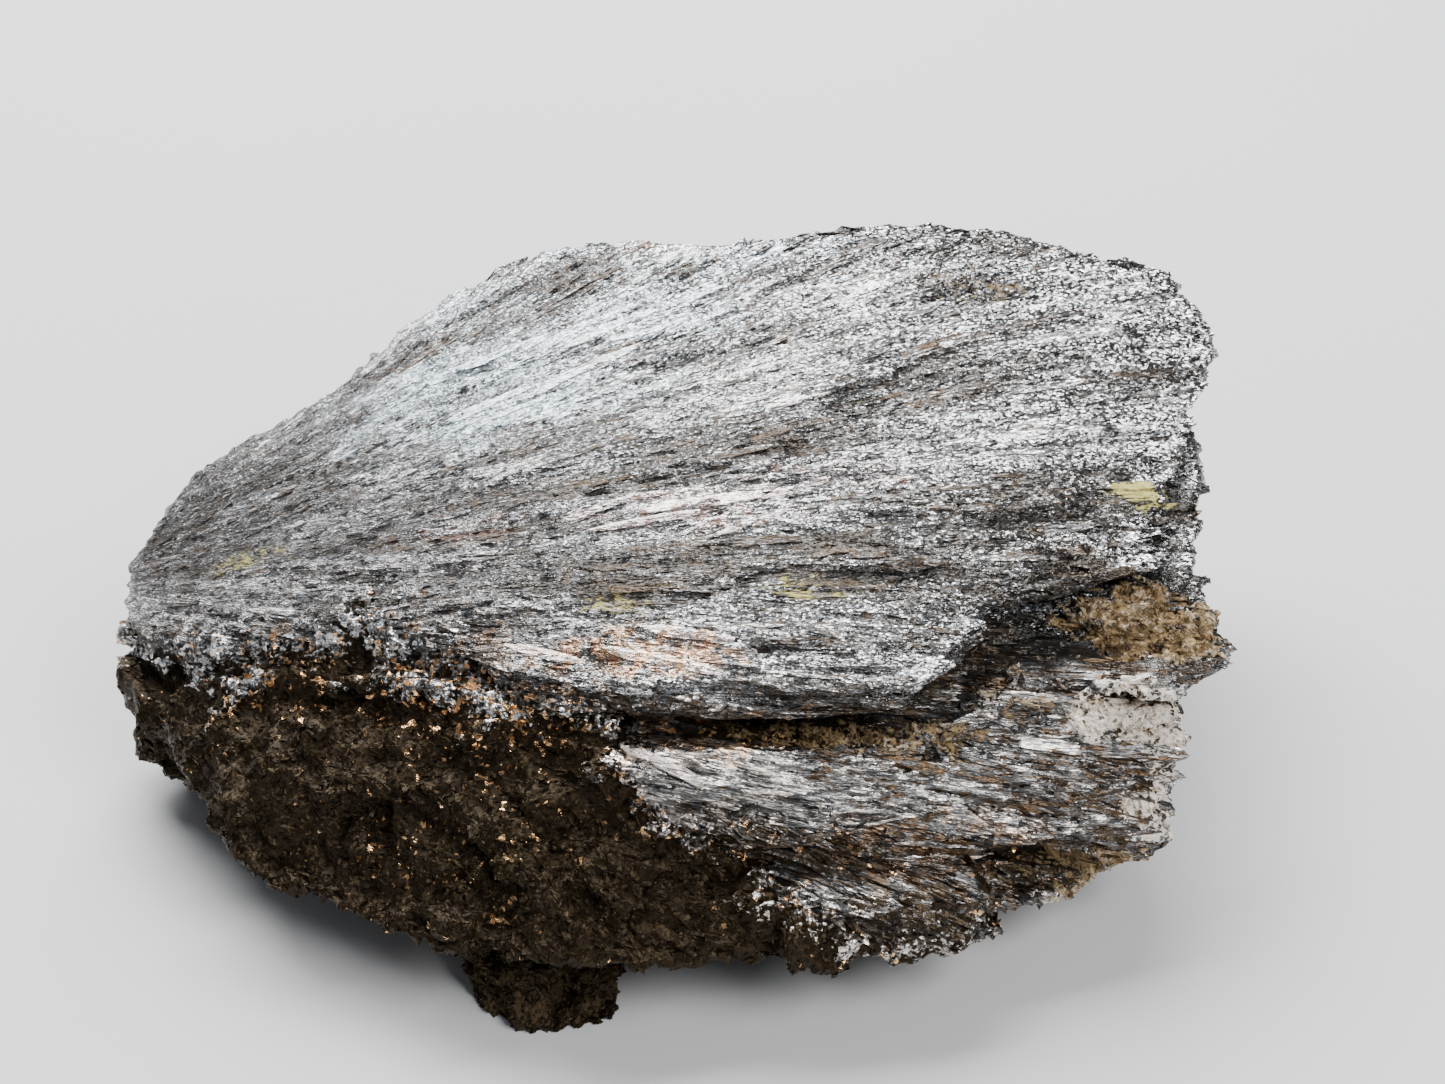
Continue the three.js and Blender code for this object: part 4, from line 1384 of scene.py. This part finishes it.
@dataclass(frozen=True)
class Cover:
    """Small pieces scattered on one ground, joined in one mesh. Lengths in millimetres.

    Each piece reaches depth into the skin. turn, roll and upturn say how far pieces stray from the way
    of the blades and from the skin's slope. A piece is left out if it would stand off the skin by more
    than bridge. nearest is how small pieces are at the fan's axis, and rarity how seldom large ones are.
    Chance strays by up to widest standard deviations.
    """

    name: str
    cut: Cut
    ground: Ground
    count: int
    seed: int
    length: Pair
    breadth: Pair
    height: Pair
    depth: float
    turn: float
    roll: float
    upturn: float = 0.0
    # This darkens the pieces on steep and hidden ground: painted shade.
    painted_shade: float = 0.0
    sleek: float = 0.0
    bridge: float = 0.55
    nearest: float = 0.45
    rarity: float = 1.6
    widest: float = 2.0
    stray: float = 0.3
    skew: float = 0.2
    most_skew: float = 0.35
    hollows: Pair = (0.06, 0.86)
    clearance: float = 0.02

    def pieces(self, skin: Skin) -> tuple[Array, Array, Array]:
        """Places and shapes the pieces.

        Args:
            skin: What they lie on.

        Returns:
            The corners as pieces by corners by 3, and a chance and a hollowness for each piece.
        """
        rng = np.random.default_rng(self.seed)
        places, normals = skin.scatter(self.ground.density(skin.middles(), skin.facing), self.count, rng)
        spread = rng.standard_normal((3, self.count, 1)).clip(-self.widest, self.widest)
        way = FAN.ways(places, normals)
        way = unit(way + self.turn * spread[0] * np.cross(normals, way))
        distance = np.linalg.norm(FAN.rays(places), axis=1)
        reach = (self.nearest + (1 - self.nearest) * distance / FAN.reach)[:, None]
        chance = rng.random((3, self.count, 1)) ** self.rarity
        length = between(self.length, chance[0]) * reach
        breadth = between(self.breadth, chance[1]) * reach / 2
        height = between(self.height, chance[2])
        most_skew = np.minimum(self.skew * length, self.most_skew)
        rings, section = self.cut.value
        corners = []
        depths = np.zeros(self.count)
        lies = np.ones(self.count, dtype=bool)
        for t, broad, high in rings:
            wanted = places + way * t * length
            spots, up, depth = skin.drop(wanted)
            lies &= np.linalg.norm(spots - wanted, axis=1) < self.bridge
            depths += depth / len(rings)
            up = up + self.roll * spread[2] * np.cross(up, way) + self.upturn * np.abs(spread[1]) * UP
            up = flattened(up, way)
            left = np.cross(up, way)
            for across, level in section:
                stray = 1 + self.stray * rng.standard_normal((self.count, 1)).clip(-self.widest, self.widest)
                lift = level * (height * high * stray + self.depth) - self.depth
                skew = most_skew * across * spread[2].clip(-1, 1) * (t > 0)
                corners.append(spots + way * skew + left * across * breadth * broad + up * lift)
        return np.stack(corners, axis=1)[lies], rng.random(self.count)[lies], depths[lies]

    def build(self, skin: Skin, finish: Material) -> Piece:
        """Builds and dresses the cover.

        Args:
            skin: What the pieces lie on.
            finish: Their material.

        Returns:
            The joined piece.
        """
        corners, chance, depths = self.pieces(skin)
        count, size = corners.shape[:2]
        rings, section = self.cut.value
        middles = np.repeat(corners.mean(axis=1), size, axis=0)
        points = corners.reshape(-1, 3)
        points[:, 2] = np.maximum(points[:, 2], self.clearance)
        piece = mesh_of(self.name, points, rod_faces(len(rings), len(section), count), smooth=False)
        # Pieces on steep and hidden ground are darkened: painted shade.
        tone = PLACES.sheen(middles) - self.painted_shade
        # Pieces in the skin's hollows take painted shade, those on its edges painted highlight.
        hollow = np.repeat(between(self.hollows, depths), size)
        paint(piece, middles, tone, np.repeat(chance, size), hollow, sleek=self.sleek)
        dress(piece, finish)
        return piece


@dataclass(frozen=True)
class Lath:
    """One blade that stands out from the rest. Lengths in millimetres."""

    start: Triple
    end: Triple
    breadth: float
    height: float = 0.12
    # pale whitens the blade: partly its pale tint, partly painted highlight.
    pale: float = 0.0
    warm: float = 0.0


@dataclass(frozen=True)
class NotableBlades:
    """The larger single blades, joined in one mesh.

    A blade narrows towards tip at both ends. tones and hollows are those of its top and of its foot: the
    darker foot is partly the blade's dark edge, partly painted shade where it meets the skin.
    """

    laths: tuple[Lath, ...]
    name: str = "notable_blades"
    rings: int = 9
    section: tuple[Pair, ...] = ((1.0, 0.0), (0.85, 1.0), (0.1, 1.15), (-0.85, 0.9), (-1.0, 0.0))
    depth: float = 0.3
    tip: float = 0.25
    widening: float = 3.2
    head: float = 1.08
    waver: float = 0.14
    seed: int = 301
    tones: Pair = (0.8, 0.3)
    hollows: Pair = (0.4, 0.9)
    chance: float = 0.6
    sleek: float = 0.6

    def corners(self, lath: Lath, skin: Skin, rng: np.random.Generator) -> Array:
        """The corners of one lath, ring by ring.

        Args:
            lath: The blade's size and place.
            skin: What it lies on.
            rng: The seeded source of chance.

        Returns:
            Rows of three coordinates.
        """
        shares = np.linspace(0, 1, self.rings)[:, None]
        spots, up, _ = skin.drop(np.array(lath.start) * (1 - shares) + np.array(lath.end) * shares)
        spots[1:-1] = (spots[:-2] + 2 * spots[1:-1] + spots[2:]) / 4
        way = unit(np.gradient(spots, axis=0))
        up = flattened(up + up.mean(axis=0), way)
        left = np.cross(up, way)
        taper = np.minimum(1, self.tip + self.widening * np.minimum(shares, self.head - shares))
        taper = taper * (1 + self.waver * rng.standard_normal(shares.shape))
        corners = []
        for across, level in self.section:
            side = left * across * lath.breadth / 2 * taper
            corners.append(spots + side + up * (level * (lath.height + self.depth) - self.depth))
        return np.stack(corners, axis=1).reshape(-1, 3)

    def build(self, skin: Skin, finish: Material) -> Piece:
        """Builds and dresses the blades.

        Args:
            skin: What they lie on.
            finish: Their material.

        Returns:
            The joined piece.
        """
        rng = np.random.default_rng(self.seed)
        points = np.concatenate([self.corners(lath, skin, rng) for lath in self.laths])
        size = self.rings * len(self.section)
        faces = rod_faces(self.rings, len(self.section), len(self.laths))
        piece = mesh_of(self.name, points, faces, smooth=False)
        raised = np.tile([level > 0 for _, level in self.section], self.rings * len(self.laths))
        pale = np.repeat([lath.pale for lath in self.laths], size) * raised
        warm = np.repeat([lath.warm for lath in self.laths], size) * raised
        tone, hollow = np.where(raised, *self.tones), np.where(raised, *self.hollows)
        paint(piece, points, tone, np.full(len(points), self.chance), hollow, pale, warm, self.sleek)
        dress(piece, finish)
        return piece


LATHS = (
    Lath((-7.4, -6.1, 25.3), (1.3, -4.7, 26.1), 0.8, 0.14, pale=0.9),
    Lath((-3.2, -4.9, 26.3), (6.0, -2.5, 26.2), 1.3, 0.18, pale=1.0),
    Lath((1.7, -7.4, 25.7), (8.9, -3.7, 26.0), 0.6, 0.12, pale=0.7),
    Lath((-9.3, -4.7, 25.5), (-3.3, -2.8, 26.3), 0.8, 0.12, pale=0.7),
    Lath((-5.8, -17.3, 22.9), (3.0, -19.4, 22.4), 1.0, 0.16, pale=0.9),
    Lath((-12.7, -16.3, 22.2), (-6.8, -18.1, 22.3), 0.8, 0.16, pale=1.0),
    Lath((-2.9, -15.7, 23.5), (3.9, -16.8, 23.2), 0.9, 0.12, pale=0.8),
    Lath((-19.8, 7.7, 26.2), (-12.7, 10.7, 27.9), 0.9, 0.14, pale=0.3),
    Lath((-13.4, 9.3, 27.4), (-3.9, 15.6, 29.2), 1.0, 0.16, pale=0.4),
    Lath((-10.5, 15.2, 28.8), (-2.7, 20.5, 29.6), 1.1, 0.16, pale=0.3),
    Lath((-19.2, 14.1, 27.5), (-13.9, 15.9, 29.0), 0.9, 0.16, pale=0.4),
    Lath((-7.2, 15.7, 29.1), (0.3, 19.0, 29.9), 0.9, 0.14, pale=0.3),
    Lath((-16.7, 0.5, 25.7), (-9.7, 2.1, 26.9), 0.7, 0.12, pale=0.3),
    Lath((5.9, -3.0, 26.1), (11.3, -0.7, 26.6), 0.8, 0.12, pale=0.6),
    Lath((10.5, -0.4, 27.2), (17.0, 4.0, 27.1), 0.6, 0.1),
    Lath((-4.2, -23.6, 18.8), (1.6, -25.9, 17.4), 0.9, 0.5, pale=0.8, warm=0.35),
    Lath((-2.9, -22.2, 17.7), (1.4, -24.6, 18.3), 0.6, 0.3, pale=0.3),
    Lath((14.2, -26.4, 12.6), (21.8, -25.2, 11.2), 0.5, 0.45),
    Lath((14.4, -27.2, 11.8), (22.2, -24.6, 9.4), 0.45, 0.4),
    Lath((8.4, -25.9, 16.2), (15.6, -25.2, 14.1), 0.7, 0.3),
    Lath((12.0, -26.2, 13.6), (20.0, -23.6, 14.0), 0.6, 0.3),
    Lath((20.4, -17.2, 17.6), (29.0, -17.8, 18.5), 0.8, 0.3),
    Lath((22.9, -22.0, 15.5), (32.0, -21.0, 12.7), 0.8, 0.3),
    Lath((25.5, 9.6, 27.9), (32.8, 12.2, 27.8), 0.7, 0.14),
    Lath((17.6, 13.2, 29.1), (26.4, 18.5, 29.0), 0.8, 0.12),
)

COVERS = (
    Cover(
        "top_laths", Cut.LATH, Ground.TOP, 420, 111, (3.0, 10.0), (0.4, 1.2), (0.03, 0.12),
        depth=0.25, turn=0.04, roll=0.04, sleek=0.7,
    ),
    Cover(
        "ledge_laths", Cut.LATH, Ground.LEDGES, 420, 112, (4.0, 12.0), (0.5, 1.5), (0.1, 0.4),
        depth=0.3, turn=0.06, roll=0.1, upturn=0.5, sleek=0.4,
    ),
    Cover(
        "top_blades", Cut.BLADE, Ground.TOP, 3000, 101, (1.6, 6.0), (0.3, 0.9), (0.0, 0.07),
        depth=0.25, turn=0.04, roll=0.05,
    ),
    Cover(
        "top_needles", Cut.NEEDLE, Ground.TOP, 14000, 102, (0.6, 3.2), (0.12, 0.4), (0.0, 0.06),
        depth=0.2, turn=0.08, roll=0.12,
    ),
    Cover(
        "ledge_blades", Cut.BLADE, Ground.LEDGES, 5500, 103, (1.4, 6.5), (0.3, 1.0), (0.0, 0.26),
        depth=0.3, turn=0.07, roll=0.12, upturn=0.45, painted_shade=0.2,
    ),
    Cover(
        "hackly_chips", Cut.CHIP, Ground.HACKLE, 9500, 104, (0.4, 1.7), (0.5, 1.7), (0.0, 0.14),
        depth=0.3, turn=0.6, roll=0.25, upturn=0.3, painted_shade=0.2,
    ),
    Cover(
        "hidden_blades", Cut.BLADE, Ground.HIDDEN, 6500, 105, (1.0, 5.5), (0.3, 1.3), (0.0, 0.16),
        depth=0.3, turn=0.1, roll=0.15, painted_shade=0.3,
    ),
    Cover(
        "broken_ends", Cut.CHIP, Ground.ENDS, 5000, 107, (0.3, 1.5), (0.3, 1.1), (0.0, 0.16),
        depth=0.3, turn=0.9, roll=0.3, painted_shade=0.2,
    ),
    Cover(
        "crust_grains", Cut.GRAIN, Ground.CRUST, 7000, 106, (0.3, 1.1), (0.3, 1.0), (0.05, 0.4),
        depth=0.3, turn=1.5, roll=0.4,
    ),
)


# ---- Floor, lights and camera ----


@dataclass(frozen=True)
class Studio:
    """A pale floor, soft light from behind and above, a weak fill, and the camera. Metres and watts."""

    floor_size: float = 6.0
    key_place: Triple = (-0.14, 0.48, 0.62)
    key_size: Pair = (0.80, 0.56)
    key_power: float = 19.0
    fill_place: Triple = (0.50, -0.40, 0.75)
    fill_size: Pair = (0.5, 0.5)
    fill_power: float = 9.0
    sky: Tint = Tint(0.80, 0.86, 0.95)
    sky_strength: float = 0.2
    camera_place: Triple = (0.0030, -0.130621, 0.111552)
    camera_down: float = 35.0
    lens: float = 50.0
    clip_start: float = 0.005

    def floor(self) -> Piece:
        """Lays the floor.

        Returns:
            The piece.
        """
        half = self.floor_size / 2 / MM
        corners = ((-half, -half, 0.0), (half, -half, 0.0), (half, half, 0.0), (-half, half, 0.0))
        piece = mesh_of("floor", np.array(corners), np.array([[0, 1, 2, 3]]), smooth=False)
        piece.data.materials.append(FloorFinish().build())
        return piece

    @staticmethod
    def light(name: str, place: Triple, size: Pair, power: float) -> None:
        """Hangs a soft light that faces the mass.

        Args:
            name: The light's name.
            place: Where it hangs.
            size: Its width and height.
            power: Its power.
        """
        lamp = bpy.data.lights.new(name, "AREA")
        lamp.shape = "RECTANGLE"
        lamp.size, lamp.size_y = size
        lamp.energy = power
        hung = bpy.data.objects.new(name, lamp)
        hung.location = place
        hung.rotation_mode = "QUATERNION"
        hung.rotation_quaternion = Vector(place).to_track_quat("Z", "Y")
        bpy.context.scene.collection.objects.link(hung)

    def build(self) -> None:
        """Sets up the floor, the lights, the surroundings and the camera."""
        self.floor()
        self.light("key", self.key_place, self.key_size, self.key_power)
        self.light("fill", self.fill_place, self.fill_size, self.fill_power)
        world = bpy.data.worlds.new("surroundings")
        world.use_nodes = True
        backdrop = world.node_tree.nodes["Background"]
        backdrop.inputs["Color"].default_value = self.sky.rgba()
        backdrop.inputs["Strength"].default_value = self.sky_strength
        bpy.context.scene.world = world
        camera = bpy.data.cameras.new("camera")
        camera.lens = self.lens
        camera.clip_start = self.clip_start
        stand = bpy.data.objects.new("camera", camera)
        stand.location = self.camera_place
        stand.rotation_euler = (math.pi / 2 - math.radians(self.camera_down), 0, 0)
        bpy.context.scene.collection.objects.link(stand)
        bpy.context.scene.camera = stand


def report(piece: Piece) -> None:
    """Logs a piece's name and how many faces it has."""
    LOG.info("%s: %d faces", piece.name, len(piece.data.polygons))


def main() -> None:
    """Builds the mass, its covers and the studio."""
    logging.basicConfig(level=logging.INFO, format="%(name)s: %(message)s")
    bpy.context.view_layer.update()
    finish = StibniteFinish().build()
    piece, skin = StibniteMass().build(finish)
    report(piece)
    for small in (*COVERS, NotableBlades(LATHS)):
        report(small.build(skin, finish))
    Studio().build()


if __name__ == "__main__":
    main()
